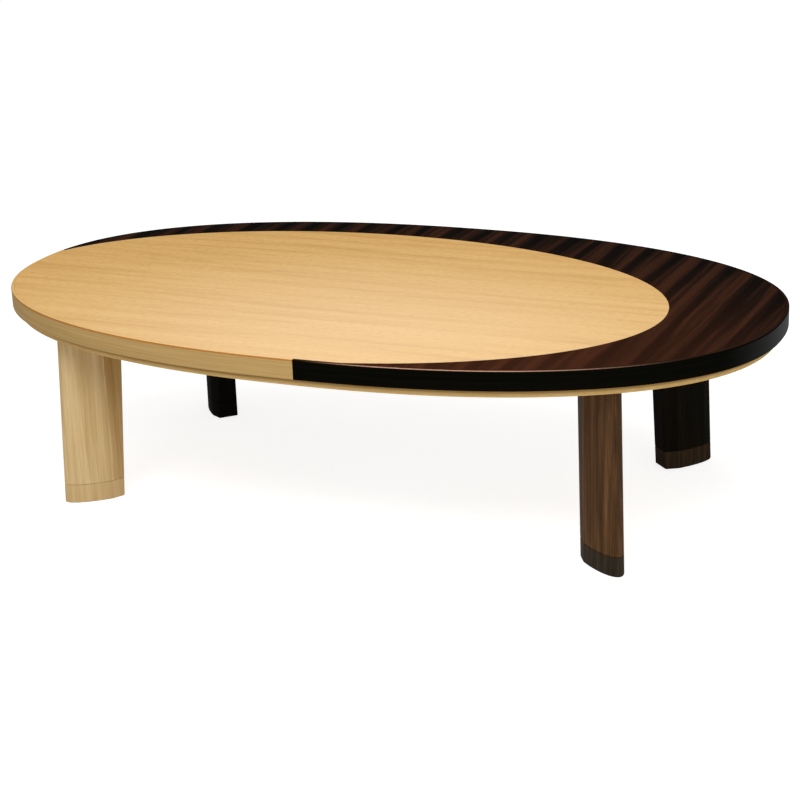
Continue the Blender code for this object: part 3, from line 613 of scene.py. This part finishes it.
def quartz_finish():
    """Clear quartz glass with a faint warm cast, cloudy in places."""
    finish = Finish("quartz_glass", "quartz", Roughness=0.04, IOR=1.46, Transmission_Weight=1.0)
    clouds = finish.cloud(finish.at((0.06, 0.01, 0.01)), 2.0)
    finish.paint(finish.ramp(clouds, (0.3, tone(246, 222, 206)), (0.7, tone(255, 246, 238))))
    finish.gloss(finish.step(clouds, 0.3, 0.7, 0.08, 0.03))
    return finish


def carbon_finish():
    """Woven carbon strip, matt black with a fine cross weave."""
    finish = Finish("carbon_strip", "carbon", Roughness=0.6, Specular_IOR_Level=0.4)
    threads = {"Vector": finish.at((0.0016,) * 3), "Scale": 1.0, "Distortion": 0.6}
    weave = finish.add("TexWave", threads, wave_type="BANDS", bands_direction="X").outputs["Fac"]
    finish.paint(finish.ramp(weave, (0.2, tone(16, 16, 17)), (0.8, tone(44, 43, 43))))
    finish.gloss(finish.step(weave, 0.2, 0.8, 0.7, 0.45))
    finish.relief(weave, 0.00008)
    return finish


LIGHT_VENEER = light_veneer_finish()
DARK_VENEER = dark_veneer_finish()
LIGHT_EDGE = edge_finish(
    "light_edge_lacquer", "light_veneer", (tone(172, 139, 85), tone(182, 149, 95), tone(192, 160, 106)),
    face=(LIGHT_TONES[1], LIGHT_SHEEN_TONE, LIGHT_SHEEN_SHARE), coat=0.08, span=LIGHT_LINE,
    line_tone=tone(172, 116, 52), line_depth=0.003, line_coat=0.1, end_coat=0.08)
# The dark band's line tone is a painted highlight along its arris; the arris also has more coat there, for a
# real gloss
DARK_EDGE = edge_finish(
    "dark_edge_lacquer", "dark_veneer", (tone(3, 3, 2), tone(6, 6, 3), tone(12, 10, 6)),
    face=(DARK_TONES[1], DARK_SHEEN_TONE, DARK_SHEEN_SHARE), coat=0.018, span=DARK_LINE,
    line_tone=tone(168, 124, 98), line_depth=0.0014, line_coat=0.5, end_coat=0.14)
RIM_ALONG = frame_wood_finish("rim_wood_along", "rim_wood", RIM_TONES, 0.0, seam=True)
RIM_ACROSS = frame_wood_finish("rim_wood_across", "rim_wood", RIM_TONES, math.pi / 2, seam=True)
BARE_ALONG = frame_wood_finish("bare_wood_along", "bare_wood", BARE_TONES, 0.0)
BARE_ACROSS = frame_wood_finish("bare_wood_across", "bare_wood", BARE_TONES, math.pi / 2)
BARE_UPRIGHT = frame_wood_finish("bare_wood_upright", "bare_wood", BARE_TONES, 0.0, True)
BOARD = board_finish()
BACKING = backing_finish()
ZINC = metal_finish("zinc_plate", "zinc_steel", tone(150, 148, 140), tone(205, 203, 194),
                    roughness=0.32, brush=(0.01, 0.0006, 0.01))
WIRE = metal_finish("bright_wire", "guard_wire", tone(176, 176, 176), tone(220, 220, 220),
                    roughness=0.22, brush=(0.02, 0.02, 0.0008))
ALUMINIUM = metal_finish("polished_sheet", "reflector_aluminium", tone(205, 206, 208), tone(236, 237, 239),
                         roughness=0.16, brush=(0.08, 0.0006, 0.08), spread=0.06)
BRASS = metal_finish("contact_brass", "contact_brass", tone(176, 132, 62), tone(222, 184, 104),
                     roughness=0.28, brush=(0.004, 0.004, 0.0005))
PAINTED = speckled_finish("stoved_black", "housing_steel", tone(26, 26, 28), tone(48, 48, 50),
                          roughness=0.45, speck=0.0008, depth=0.00005)
PLASTIC = speckled_finish("moulded_black", "guard_plastic", tone(22, 22, 23), tone(42, 42, 43),
                          roughness=0.5, speck=0.0006, depth=0.00006)
CERAMIC = speckled_finish("fired_ceramic", "ceramic", tone(206, 200, 186), tone(236, 231, 220),
                          roughness=0.5, speck=0.0012, depth=0.00004)
QUARTZ = quartz_finish()
CARBON = carbon_finish()


# Shapes: the tools that the pieces share

def show(name, bm, finish, *nodes):
    """A finished piece that stands for CAD nodes and moves with their body."""
    mesh = bpy.data.meshes.new(name)
    bm.to_mesh(mesh)
    bm.free()
    mesh.shade_smooth()
    mesh.set_sharp_from_angle(angle=SHARP_TURN)
    mesh.materials.append(finish.material)
    made = bpy.data.objects.new(name, mesh)
    bpy.context.scene.collection.objects.link(made)
    shading = made.modifiers.new("even_shading", "WEIGHTED_NORMAL")
    shading.keep_sharp = True
    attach(made, BODY_OF[nodes[0]])
    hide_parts(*nodes)


def round_edges(bm, edges, offset, segments=3):
    """Rounds edges to about an offset."""
    bmesh.ops.bevel(bm, geom=edges, offset=offset, offset_type="OFFSET", affect="EDGES", segments=segments,
                    profile=0.5, material=-1, clamp_overlap=True)


def sharp_edges(bm):
    """The edges whose faces meet at a turn that is worth easing."""
    return [edge for edge in bm.edges if edge.calc_face_angle(0.0) > EASED_TURN]


def slab(points, low, high):
    """A board of a plan outline between two levels."""
    bm = bmesh.new()
    plan = bm.faces.new([bm.verts.new((x, y, low)) for x, y in points])
    grown = bmesh.ops.extrude_face_region(bm, geom=[plan])["geom"]
    lifted = [part for part in grown if isinstance(part, bmesh.types.BMVert)]
    bmesh.ops.translate(bm, verts=lifted, vec=(0, 0, high - low))
    bmesh.ops.recalc_face_normals(bm, faces=bm.faces)
    return bm


def add_box(bm, low, high):
    """A box between two corners."""
    low, high = Vector(low), Vector(high)
    place = Matrix.Translation((low + high) / 2) @ Matrix.Diagonal((*(high - low), 1))
    return bmesh.ops.create_cube(bm, size=1, matrix=place)["verts"]


def add_rod(bm, start, end, radius, steps):
    """A solid cylinder between two points."""
    start, end = Vector(start), Vector(end)
    turn = (end - start).to_track_quat("Z", "Y").to_matrix().to_4x4()
    bmesh.ops.create_cone(bm, cap_ends=True, segments=steps, radius1=radius, radius2=radius,
                          depth=(end - start).length, matrix=Matrix.Translation((start + end) / 2) @ turn)


def turned(profile, steps=ROUND_STEPS):
    """A turned shape about +Z from (radius, height) points, closed to a ring where it misses the axis."""
    bm = bmesh.new()
    verts = [bm.verts.new((radius, 0, height)) for radius, height in profile]
    edges = [bm.edges.new(pair) for pair in zip(verts, verts[1:])]
    if all(radius > 0 for radius, _ in profile):
        edges.append(bm.edges.new((verts[-1], verts[0])))
    bmesh.ops.spin(bm, geom=verts + edges, cent=(0, 0, 0), axis=(0, 0, 1), angle=2 * math.pi, steps=steps,
                   use_merge=True)
    bmesh.ops.remove_doubles(bm, verts=bm.verts, dist=WELD)
    bmesh.ops.recalc_face_normals(bm, faces=bm.faces)
    return bm


def plain_object(name, bm):
    """A passing object for a Boolean."""
    mesh = bpy.data.meshes.new(name)
    bm.to_mesh(mesh)
    bm.free()
    made = bpy.data.objects.new(name, mesh)
    bpy.context.scene.collection.objects.link(made)
    return made


def result_of(made, *tools):
    """The shape of a passing object with its modifiers worked in. The object and its tools go."""
    bpy.context.view_layer.update()
    mesh = bpy.data.meshes.new_from_object(made.evaluated_get(bpy.context.evaluated_depsgraph_get()))
    result = bmesh.new()
    result.from_mesh(mesh)
    bpy.data.meshes.remove(mesh)
    for passing in (made, *tools):
        bpy.data.objects.remove(passing, do_unlink=True)
    return result


def carve(bm, tool, operation="DIFFERENCE"):
    """A shape with a second one cut out of it, or joined to it."""
    target = plain_object("carved", bm)
    cutter = plain_object("carver", tool)
    step = target.modifiers.new("carve", "BOOLEAN")
    step.operation = operation
    step.solver = "EXACT"
    step.use_self = True
    step.object = cutter
    return result_of(target, cutter)


def eased(node, offset, finish, segments=2):
    """A CAD node's own shape with its edges eased."""
    bm = bmesh.new()
    bm.from_mesh(frame["nodes"][node].data)
    bmesh.ops.remove_doubles(bm, verts=bm.verts, dist=WELD)
    bmesh.ops.dissolve_limit(bm, angle_limit=FLAT_TURN, verts=bm.verts, edges=bm.edges)
    round_edges(bm, sharp_edges(bm), offset, segments)
    show("finished_" + node, bm, finish, node)


# Shapes: the table's outline and its light oval

def outline_point(turn, inset):
    """A point of the table's outline, drawn in by an inset, at a turn counted from +X."""
    power = 2 / OUTLINE_POWER
    x = (HALF_LENGTH - inset) * math.copysign(abs(math.cos(turn)) ** power, math.cos(turn))
    y = (HALF_WIDTH - inset) * math.copysign(abs(math.sin(turn)) ** power, math.sin(turn))
    return Vector((x, y))


def oval_point(turn, grow):
    """A point of the light oval, grown by a little."""
    x = OVAL_X + (OVAL_ALONG + grow) * math.cos(turn)
    y = OVAL_Y + (OVAL_ACROSS + grow) * math.sin(turn)
    return Vector((x, y))


def oval_turn(point, grow):
    """The turn at which the light oval passes a point."""
    return math.atan2((point.y - OVAL_Y) / (OVAL_ACROSS + grow), (point.x - OVAL_X) / (OVAL_ALONG + grow))


def arc(maker, start, stop, size):
    """Points from one turn to another at fine even steps, ends included."""
    count = math.ceil(abs(stop - start) / FINE_STEP)
    return [maker(start + (stop - start) * step / count, size) for step in range(count + 1)]


def meeting(value, low, high):
    """The turn at which a value that rises from below zero passes it."""
    for _ in range(HALVINGS):
        middle = (low + high) / 2
        if value(middle) < 0:
            low = middle
        else:
            high = middle
    return (low + high) / 2


def oval_meets(inset, grow):
    """The turns at the back and at the front where the light oval runs out over the outline."""
    def outside(turn):
        point = outline_point(turn, inset)
        along = (point.x - OVAL_X) / (OVAL_ALONG + grow)
        across = (point.y - OVAL_Y) / (OVAL_ACROSS + grow)
        return along ** 2 + across ** 2 - 1
    return [meeting(outside, LIGHT_TURN, dark_turn) for dark_turn in DARK_TURNS]


def on_outline(vert, inset):
    """Whether a point lies on the outline drawn in by an inset."""
    along = abs(vert.co.x) / (HALF_LENGTH - inset)
    across = abs(vert.co.y) / (HALF_WIDTH - inset)
    return abs(along ** OUTLINE_POWER + across ** OUTLINE_POWER - 1) < OUTLINE_NEAR


def outline_edges(bm, inset, level):
    """The edges that follow the outline at one level."""
    def follows(edge):
        return all(on_outline(vert, inset) and abs(vert.co.z - level) < WELD for vert in edge.verts)
    return [edge for edge in bm.edges if follows(edge)]


# Pieces: top board and rim

def make_top():
    """Two veneer faces and two edge bands with a rounded top arris."""
    inset = EDGE_WIDTH + JOINT
    back, front = oval_meets(inset, 0.0)
    edge = arc(outline_point, back, front, inset)
    oval = arc(oval_point, oval_turn(edge[-1], 0.0), oval_turn(edge[0], 0.0), 0.0)
    show("light_top_face", slab(edge + oval[1:-1], VENEER_LOW, TOP_LEVEL), LIGHT_VENEER, "light_veneer")

    back, front = oval_meets(inset, JOINT)
    edge = arc(outline_point, front - 2 * math.pi, back, inset)
    oval = arc(oval_point, oval_turn(edge[-1], JOINT), oval_turn(edge[0], JOINT), JOINT)
    show("dark_top_face", slab(edge + oval[1:-1], VENEER_LOW, TOP_LEVEL), DARK_VENEER, "dark_veneer")

    seam = JOINT / HALF_WIDTH / 2
    spans = {"light_edge": (EDGE_MEETS_BACK + seam, EDGE_MEETS_FRONT - seam, LIGHT_EDGE),
             "dark_edge": (EDGE_MEETS_FRONT - 2 * math.pi + seam, EDGE_MEETS_BACK - seam, DARK_EDGE)}
    for node, (start, stop, finish) in spans.items():
        outer = arc(outline_point, start, stop, 0.0)
        inner = arc(outline_point, stop, start, EDGE_WIDTH)
        band = slab(outer + inner, EDGE_LOW, TOP_LEVEL)
        round_edges(band, outline_edges(band, 0.0, TOP_LEVEL), TOP_ARRIS, 5)
        round_edges(band, outline_edges(band, 0.0, EDGE_LOW), UNDER_ARRIS, 3)
        show(node + "_band", band, finish, node)


def make_rim():
    """Four mitred boards of the oval rim, rounded along the outside."""
    shift = JOINT / math.sqrt(2)

    def past_mitre(turn, side):
        point = outline_point(turn, RIM_INSET)
        return (point.y - RIM_IN_Y) - (point.x - RIM_IN_X) - side * shift

    end_turn = meeting(lambda turn: past_mitre(turn, -1), 0, math.pi / 2)
    long_turn = meeting(lambda turn: past_mitre(turn, 1), 0, math.pi / 2)
    end = arc(outline_point, -end_turn, end_turn, RIM_INSET)
    end += [Vector((RIM_IN_X, RIM_IN_Y - shift)), Vector((RIM_IN_X, shift - RIM_IN_Y))]
    long = arc(outline_point, long_turn, math.pi - long_turn, RIM_INSET)
    long += [Vector((shift - RIM_IN_X, RIM_IN_Y)), Vector((RIM_IN_X - shift, RIM_IN_Y))]
    plans = {"right": (end, RIM_ACROSS), "left": ([-point for point in end], RIM_ACROSS),
             "back": (long, RIM_ALONG), "front": ([-point for point in long], RIM_ALONG)}
    for side, (plan, finish) in plans.items():
        rim = slab(plan, RIM_LOW, RIM_HIGH)
        round_edges(rim, outline_edges(rim, RIM_INSET, RIM_LOW), RIM_ARRIS, 4)
        round_edges(rim, outline_edges(rim, RIM_INSET, RIM_HIGH), RIM_ARRIS / 2, 3)
        show("rim_board_" + side, rim, finish, "rim_" + side)


# Pieces: legs, feet and bolts

def corner_place(x, y):
    """The frame of a leg seat: local +X points out along the leg, away from the table's middle."""
    return Matrix.Translation((x * SEAT_X, y * SEAT_Y, 0)) @ Matrix.Rotation(math.atan2(y, x), 4, "Z")


def inner_end(level):
    """How far out the leg's inner end lies, and its half width there."""
    inner = JOINT + LEG_TAPER * max(0.0, (BLOCK_LOW - level) / BLOCK_LOW)
    return inner, LEG_HALF_END + (LEG_HALF_WIDE - LEG_HALF_END) * inner / NOSE_START


def leg_shape(levels):
    """A leg fin between levels: a flat inner end that tapers, swelling sides and a nose that leans out."""
    bm = bmesh.new()
    plan = [(0, 1), (0, -1)]
    for step in range(NOSE_STEPS + 1):
        turn = math.pi * (step / NOSE_STEPS - 0.5)
        plan.append((NOSE_START + LEG_NOSE * math.cos(turn), LEG_HALF_WIDE * math.sin(turn)))
    top = bm.faces.new([bm.verts.new((along, across, levels[0])) for along, across in plan])
    for low, high in zip(levels, levels[1:]):
        grown = bmesh.ops.extrude_face_region(bm, geom=[top])["geom"]
        top = next(part for part in grown if isinstance(part, bmesh.types.BMFace))
        bmesh.ops.translate(bm, verts=top.verts, vec=(0, 0, high - low))
    for vert in bm.verts:
        if vert.co.x < NOSE_START / 2:
            inner, half = inner_end(vert.co.z)
            vert.co.x = inner
            vert.co.y = math.copysign(half, vert.co.y)
        else:
            drawn_in = 1 - LEG_LEAN / LEG_NOSE * vert.co.z / LEG_HIGH
            vert.co.x = NOSE_START + (vert.co.x - NOSE_START) * drawn_in
    bmesh.ops.recalc_face_normals(bm, faces=bm.faces)
    return bm


def upright_edges(bm, start, stop):
    """A leg's upright edges that lie between two distances out from its seat."""
    def stands(edge):
        rise = abs(edge.verts[0].co.z - edge.verts[1].co.z)
        return rise > WELD and all(start < vert.co.x < stop for vert in edge.verts)
    return [edge for edge in bm.edges if stands(edge)]


def ease_uprights(bm):
    """Eases a leg's inner corners, and softens the crease where its nose begins."""
    round_edges(bm, upright_edges(bm, 0, NOSE_START - WELD), LEG_ARRIS)
    round_edges(bm, upright_edges(bm, NOSE_START - WELD, NOSE_START + WELD), CREASE_ROUND)


def level_edges(bm, level):
    """The edges that lie at one level."""
    return [edge for edge in bm.edges if all(abs(vert.co.z - level) < WELD for vert in edge.verts)]


def tongue_slot():
    """The slot that a foot's tongue fills."""
    bm = bmesh.new()
    inner = LEG_TAPER + TONGUE_EDGE - JOINT
    half = TONGUE_THICK / 2 + JOINT
    add_box(bm, (inner, -half, FOOT_HEIGHT - TONGUE_DOWN - JOINT),
            (inner + TONGUE_WIDTH + 2 * JOINT, half, FOOT_HEIGHT + TONGUE_UP + JOINT))
    return bm


def make_legs():
    """Leg fins, drilled for their bolts, and the pull-off feet under them."""
    for corner, (x, y) in CORNERS.items():
        low = FOOT_HEIGHT + JOINT
        leg = leg_shape([low, BLOCK_LOW, LEG_HIGH])
        ease_uprights(leg)
        round_edges(leg, level_edges(leg, LEG_HIGH), LEG_ARRIS)
        round_edges(leg, level_edges(leg, low), SEAM_ARRIS, 2)
        cuts = tongue_slot()
        mouth = (-JOINT, 0, BOLT_LEVEL)
        end = (BOLT_INTO_LEG + JOINT, 0, BOLT_LEVEL)
        add_rod(cuts, mouth, end, BOLT_RADIUS + JOINT, BOLT_HOLE_STEPS)
        leg = carve(leg, cuts)
        leg.transform(corner_place(x, y))
        show("leg_fin_" + corner, leg, leg_finish(corner, True), "leg_" + corner)

        foot = leg_shape([0.0, FOOT_HEIGHT])
        ease_uprights(foot)
        round_edges(foot, level_edges(foot, FOOT_HEIGHT), SEAM_ARRIS, 2)
        round_edges(foot, level_edges(foot, 0.0), FOOT_ARRIS, 4)
        foot = carve(foot, tongue_slot())
        foot.transform(corner_place(x, y))
        show("pull_off_foot_" + corner, foot, leg_finish(corner, False), "foot_" + corner)
        eased("foot_tongue_" + corner, TONGUE_ARRIS, BARE_UPRIGHT)


def make_bolts():
    """Socket head bolts through the corner blocks into the legs."""
    for corner, (x, y) in CORNERS.items():
        head = -BOLT_SEAT - BOLT_HEAD
        bolt = turned([(0, BOLT_INTO_LEG), (BOLT_RADIUS - HEAD_ROUND, BOLT_INTO_LEG),
                       (BOLT_RADIUS, BOLT_INTO_LEG - HEAD_ROUND), (BOLT_RADIUS, -BOLT_SEAT),
                       (BOLT_HEAD_RADIUS, -BOLT_SEAT), (BOLT_HEAD_RADIUS, head + HEAD_ROUND),
                       (BOLT_HEAD_RADIUS - HEAD_ROUND, head), (0, head)])
        key = bmesh.new()
        add_rod(key, (0, 0, head - JOINT), (0, 0, head + BOLT_HEAD * SOCKET_SHARE), KEY_RADIUS, KEY_SIDES)
        bolt = carve(bolt, key)
        lying = Matrix.Translation((0, 0, BOLT_LEVEL)) @ Matrix.Rotation(math.pi / 2, 4, "Y")
        bolt.transform(corner_place(x, y) @ lying)
        show("socket_bolt_" + corner, bolt, ZINC, "leg_bolt_" + corner)


def make_frame():
    """Corner blocks, rails and heater bars with eased edges."""
    for corner in CORNERS:
        eased("corner_block_" + corner, BLOCK_ARRIS, BARE_ALONG)
    for side in SIDES:
        eased("rail_" + side, RAIL_ARRIS, BARE_ALONG if side in ("front", "back") else BARE_ACROSS, 3)
    for side in ("left", "right"):
        eased("heater_bar_" + side, BAR_ARRIS, BARE_ACROSS)


# Pieces: heater

def pressed_tray(half, high, steps, bend):
    """An open pressed tray, mouth down: a square panel and sides through (half size, level) steps."""
    bm = bmesh.new()
    bmesh.ops.create_grid(bm, x_segments=1, y_segments=1, size=half, matrix=Matrix.Translation((0, 0, high)))
    for reach, level in steps:
        rim = [edge for edge in bm.edges if edge.is_boundary]
        grown = bmesh.ops.extrude_edge_only(bm, edges=rim)["geom"]
        for vert in (part for part in grown if isinstance(part, bmesh.types.BMVert)):
            vert.co.x = math.copysign(reach, vert.co.x)
            vert.co.y = math.copysign(reach, vert.co.y)
            vert.co.z = level
    bmesh.ops.recalc_face_normals(bm, faces=bm.faces)
    panel = max(bm.faces, key=lambda face: face.calc_center_median().z)
    if panel.normal.z < 0:
        bmesh.ops.reverse_faces(bm, faces=bm.faces)
    round_edges(bm, [edge for edge in bm.edges if not edge.is_boundary], bend, 4)
    return bm


def sheet_metal(bm, sheet):
    """A pressed surface given its thickness, on its inner side."""
    made = plain_object("pressed", bm)
    wall = made.modifiers.new("sheet", "SOLIDIFY")
    wall.thickness = sheet
    wall.offset = -1
    wall.use_even_offset = True
    return result_of(made)


def make_pan():
    """The heater's pressed pan with a raised panel, and the polished reflector in its mouth."""
    low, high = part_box("heater_housing")
    flange = low.z + PAN_SHEET
    pan = pressed_tray(PAN_HALF, high.z, [(PAN_HALF, flange), (high.x, flange)], PAN_BEND)
    panel = max(pan.faces, key=lambda face: face.calc_center_median().z + face.calc_area())
    bmesh.ops.inset_region(pan, faces=[panel], thickness=PANEL_INSET)
    bmesh.ops.inset_region(pan, faces=[panel], thickness=PANEL_SLOPE, depth=PANEL_RISE)
    holes = bmesh.new()
    for corner in CORNERS:
        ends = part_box("heater_screw_" + corner)
        spot = (ends[0] + ends[1]) / 2
        add_rod(holes, (spot.x, spot.y, low.z - JOINT), (spot.x, spot.y, flange + JOINT),
                SCREW_RADIUS + JOINT, SCREW_HOLE_STEPS)
    show("pressed_pan", carve(sheet_metal(pan, PAN_SHEET), holes), PAINTED, "heater_housing")

    low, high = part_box("reflector")
    mirror = pressed_tray(high.x - REFLECTOR_SKIRT, high.z, [(high.x, low.z)], REFLECTOR_BEND)
    hole = bmesh.new()
    add_rod(hole, (0, 0, low.z), (0, 0, high.z + JOINT), SHAFT_HOLE, ROUND_STEPS)
    show("polished_reflector", carve(sheet_metal(mirror, REFLECTOR_SHEET), hole), ALUMINIUM, "reflector")


def make_tubes():
    """Quartz tubes with a twisted carbon strip inside, held by ceramic blocks."""
    for side in ("front", "back"):
        low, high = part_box("quartz_tube_" + side)
        middle = (low + high) / 2
        half = (high.x - low.x) / 2
        radius = (high.z - low.z) / 2
        bore = radius - TUBE_WALL
        tube = turned([(bore, half), (radius, half), (radius, -half), (bore, -half)])
        tube.transform(Matrix.Translation(middle) @ Matrix.Rotation(math.pi / 2, 4, "Y"))
        show("clear_tube_" + side, tube, QUARTZ, "quartz_tube_" + side)

        low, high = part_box("carbon_element_" + side)
        ribbon = bmesh.new()
        add_box(ribbon, low, high)
        long_edges = [edge for edge in ribbon.edges if abs(edge.verts[0].co.x - edge.verts[1].co.x) > half]
        bmesh.ops.subdivide_edges(ribbon, edges=long_edges, cuts=RIBBON_CUTS)
        for vert in ribbon.verts:
            share = (vert.co.x - low.x) / (high.x - low.x)
            turn = Matrix.Rotation(2 * math.pi * RIBBON_TURNS * share, 3, "X")
            vert.co = middle + turn @ (vert.co - middle)
        show("twisted_strip_" + side, ribbon, CARBON, "carbon_element_" + side)
    for side in ("left", "right"):
        eased("ceramic_holder_" + side, HOLDER_ARRIS, CERAMIC)


def make_fan():
    """The fan motor and the impeller on its shaft."""
    low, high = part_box("fan_motor")
    radius = high.x
    bore = SHAFT_RADIUS + JOINT
    motor = turned([(0, high.z), (radius - MOTOR_ROUND, high.z), (radius, high.z - MOTOR_ROUND),
                    (radius, low.z + MOTOR_ROUND), (radius - MOTOR_ROUND, low.z), (bore, low.z),
                    (bore, high.z - MOTOR_ROUND), (0, high.z - MOTOR_ROUND)])
    show("motor_can", motor, ZINC, "fan_motor")

    low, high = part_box("fan_impeller")
    radius = high.x
    disc_high = low.z + HUB_HEIGHT
    disc_low = disc_high - FAN_DISC
    fan = turned([(0, high.z), (SHAFT_RADIUS, high.z), (SHAFT_RADIUS, disc_high), (radius, disc_high),
                  (radius, disc_low), (HUB_RADIUS, disc_low), (HUB_RADIUS, low.z + HEAD_ROUND),
                  (HUB_RADIUS - HEAD_ROUND, low.z), (0, low.z)], FAN_STEPS)
    blades = bmesh.new()
    for step in range(FAN_BLADES):
        blade = add_box(blades, (HUB_RADIUS - BLADE_THICK, -BLADE_THICK / 2, disc_low - BLADE_HEIGHT),
                        (radius - BLADE_THICK, BLADE_THICK / 2, disc_low + FAN_DISC / 2))
        bmesh.ops.rotate(blades, verts=blade, cent=(0, 0, 0),
                         matrix=Matrix.Rotation(2 * math.pi * step / FAN_BLADES, 3, "Z"))
    show("bladed_impeller", carve(fan, blades, "UNION"), PLASTIC, "fan_impeller")


def make_guard():
    """The guard's moulded bars, its crossing wires and its screws."""
    for side in SIDES:
        eased("guard_bar_" + side, GUARD_ARRIS, PLASTIC, 3)
    low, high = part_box("guard_wires")
    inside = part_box("guard_bar_right")[0].x
    # Two layers of wires, welded half a wire deep into each other, are three radii high
    radius = (high.z - low.z) / 3
    pitch = 2 * inside / (WIRE_COUNT + 1)
    along = bmesh.new()
    across = bmesh.new()
    for step in range(WIRE_COUNT):
        spot = pitch * (step + 1) - inside
        add_rod(along, (low.x, spot, low.z + radius), (high.x, spot, low.z + radius), radius, WIRE_STEPS)
        add_rod(across, (spot, low.y, high.z - radius), (spot, high.y, high.z - radius), radius, WIRE_STEPS)
    show("welded_wires", carve(along, across, "UNION"), WIRE, "guard_wires")

    for corner in CORNERS:
        node = "heater_screw_" + corner
        low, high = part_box(node)
        seat = low.z + SCREW_HEAD
        screw = turned([(0, high.z), (SCREW_RADIUS, high.z - SCREW_RADIUS), (SCREW_RADIUS, seat),
                        (SCREW_HEAD_RADIUS, seat), (SCREW_HEAD_RADIUS - HEAD_ROUND / 2, low.z + HEAD_ROUND),
                        (SCREW_HEAD_RADIUS - 2 * HEAD_ROUND, low.z), (0, low.z)], SCREW_STEPS)
        cross = bmesh.new()
        for reach in ((CROSS_LENGTH / 2, CROSS_WIDTH / 2), (CROSS_WIDTH / 2, CROSS_LENGTH / 2)):
            add_box(cross, (-reach[0], -reach[1], low.z - JOINT), (*reach, low.z + SCREW_HEAD * SOCKET_SHARE))
        screw = carve(screw, cross)
        screw.transform(Matrix.Translation(((low.x + high.x) / 2, (low.y + high.y) / 2, 0)))
        show("cross_head_screw_" + corner, screw, ZINC, node)


def make_inlet():
    """The moulded inlet, its brass pins, and the small electrical pieces above the reflector."""
    eased("cord_inlet", INLET_ARRIS, PLASTIC, 3)
    for side in ("front", "back"):
        low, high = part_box("inlet_pin_" + side)
        middle = (low + high) / 2
        half = (high.x - low.x) / 2
        radius = (high.z - low.z) / 2
        pin = turned([(0, half), (radius - PIN_ROUND, half), (radius, half - PIN_ROUND),
                      (radius, -half), (0, -half)], PIN_STEPS)
        pin.transform(Matrix.Translation(middle) @ Matrix.Rotation(math.pi / 2, 4, "Y"))
        show("contact_pin_" + side, pin, BRASS, "inlet_pin_" + side)
    eased("terminal_block", SMALL_ARRIS, CERAMIC)
    eased("thermostat", SMALL_ARRIS, PLASTIC)


# Studio: floor, light and camera

def seen_directly(tree):
    """1 for rays from the camera, a mirror or glass, and 0 for the rays that carry light."""
    rays = add_node(tree, "LightPath").outputs
    seen = rays["Is Camera Ray"]
    for kind in ("Is Glossy Ray", "Is Transmission Ray"):
        seen = add_node(tree, "Math", {0: seen, 1: rays[kind]}, operation="MAXIMUM").outputs[0]
    return seen


def make_floor():
    """A pale floor that shows white to the camera, keeps the table's shadow and is clear from below."""
    bm = bmesh.new()
    bmesh.ops.create_grid(bm, x_segments=1, y_segments=1, size=FLOOR_HALF,
                          matrix=Matrix.Translation((0, 0, -FLOOR_DROP)))
    floor = plain_object("floor", bm)
    material = bpy.data.materials.new("pale_floor")
    material.use_nodes = True
    tree = material.node_tree
    tree.nodes.clear()
    lit, shown = (add_node(tree, "BsdfDiffuse", {"Color": (level, level, level, 1)}).outputs["BSDF"]
                  for level in (FLOOR_TONE, FLOOR_SEEN))
    glow = add_node(tree, "Emission", {"Strength": FLOOR_GLOW}).outputs["Emission"]
    both = add_node(tree, "AddShader", {0: shown, 1: glow}).outputs["Shader"]
    above = add_node(tree, "MixShader", {0: seen_directly(tree), 1: lit, 2: both}).outputs["Shader"]
    under = add_node(tree, "NewGeometry").outputs["Backfacing"]
    clear = add_node(tree, "BsdfTransparent").outputs["BSDF"]
    either = add_node(tree, "MixShader", {0: under, 1: above, 2: clear}).outputs["Shader"]
    add_node(tree, "OutputMaterial", {"Surface": either})
    floor.data.materials.append(material)


def make_world():
    """Even soft light all round, which shows as white."""
    world = bpy.data.worlds.new("studio")
    bpy.context.scene.world = world
    world.use_nodes = True
    tree = world.node_tree
    tree.nodes.clear()
    light, white = (add_node(tree, "Background", {"Color": (1, 1, 1, 1), "Strength": strength}).outputs[0]
                    for strength in (WORLD_LEVEL, 1.0))
    either = add_node(tree, "MixShader", {0: seen_directly(tree), 1: light, 2: white}).outputs["Shader"]
    add_node(tree, "OutputWorld", {"Surface": either})


def soft_lamp(name, place, aim, size, power):
    """A large soft lamp aimed at a point."""
    data = bpy.data.lights.new(name, "AREA")
    data.shape = "RECTANGLE"
    data.size, data.size_y = size
    data.energy = power
    lamp = bpy.data.objects.new(name, data)
    bpy.context.scene.collection.objects.link(lamp)
    lamp.location = place
    lamp.rotation_euler = (Vector(aim) - Vector(place)).to_track_quat("-Z", "Y").to_euler()


def make_camera():
    """The photograph's own view."""
    data = bpy.data.cameras.new("photo_camera")
    data.lens = CAMERA_LENS
    camera = bpy.data.objects.new("photo_camera", data)
    bpy.context.scene.collection.objects.link(camera)
    turn = Matrix.Rotation(CAMERA_TURN, 4, "Z")
    pitch = Matrix.Rotation(math.pi / 2 - CAMERA_PITCH, 4, "X")
    roll = Matrix.Rotation(CAMERA_ROLL, 4, "Z")
    camera.matrix_world = Matrix.Translation(CAMERA_PLACE) @ turn @ pitch @ roll
    bpy.context.scene.camera = camera


make_top()
make_rim()
make_frame()
make_legs()
make_bolts()
make_pan()
make_tubes()
make_fan()
make_guard()
make_inlet()
for kept, look in (("top_core", BOARD), ("backing_sheet", BACKING)):
    frame["nodes"][kept].material_slots[0].material = look.material

make_floor()
make_world()
for lamp_name, settings in LAMPS.items():
    soft_lamp(lamp_name, *settings)
make_camera()
bpy.context.scene.view_settings.view_transform = "Standard"
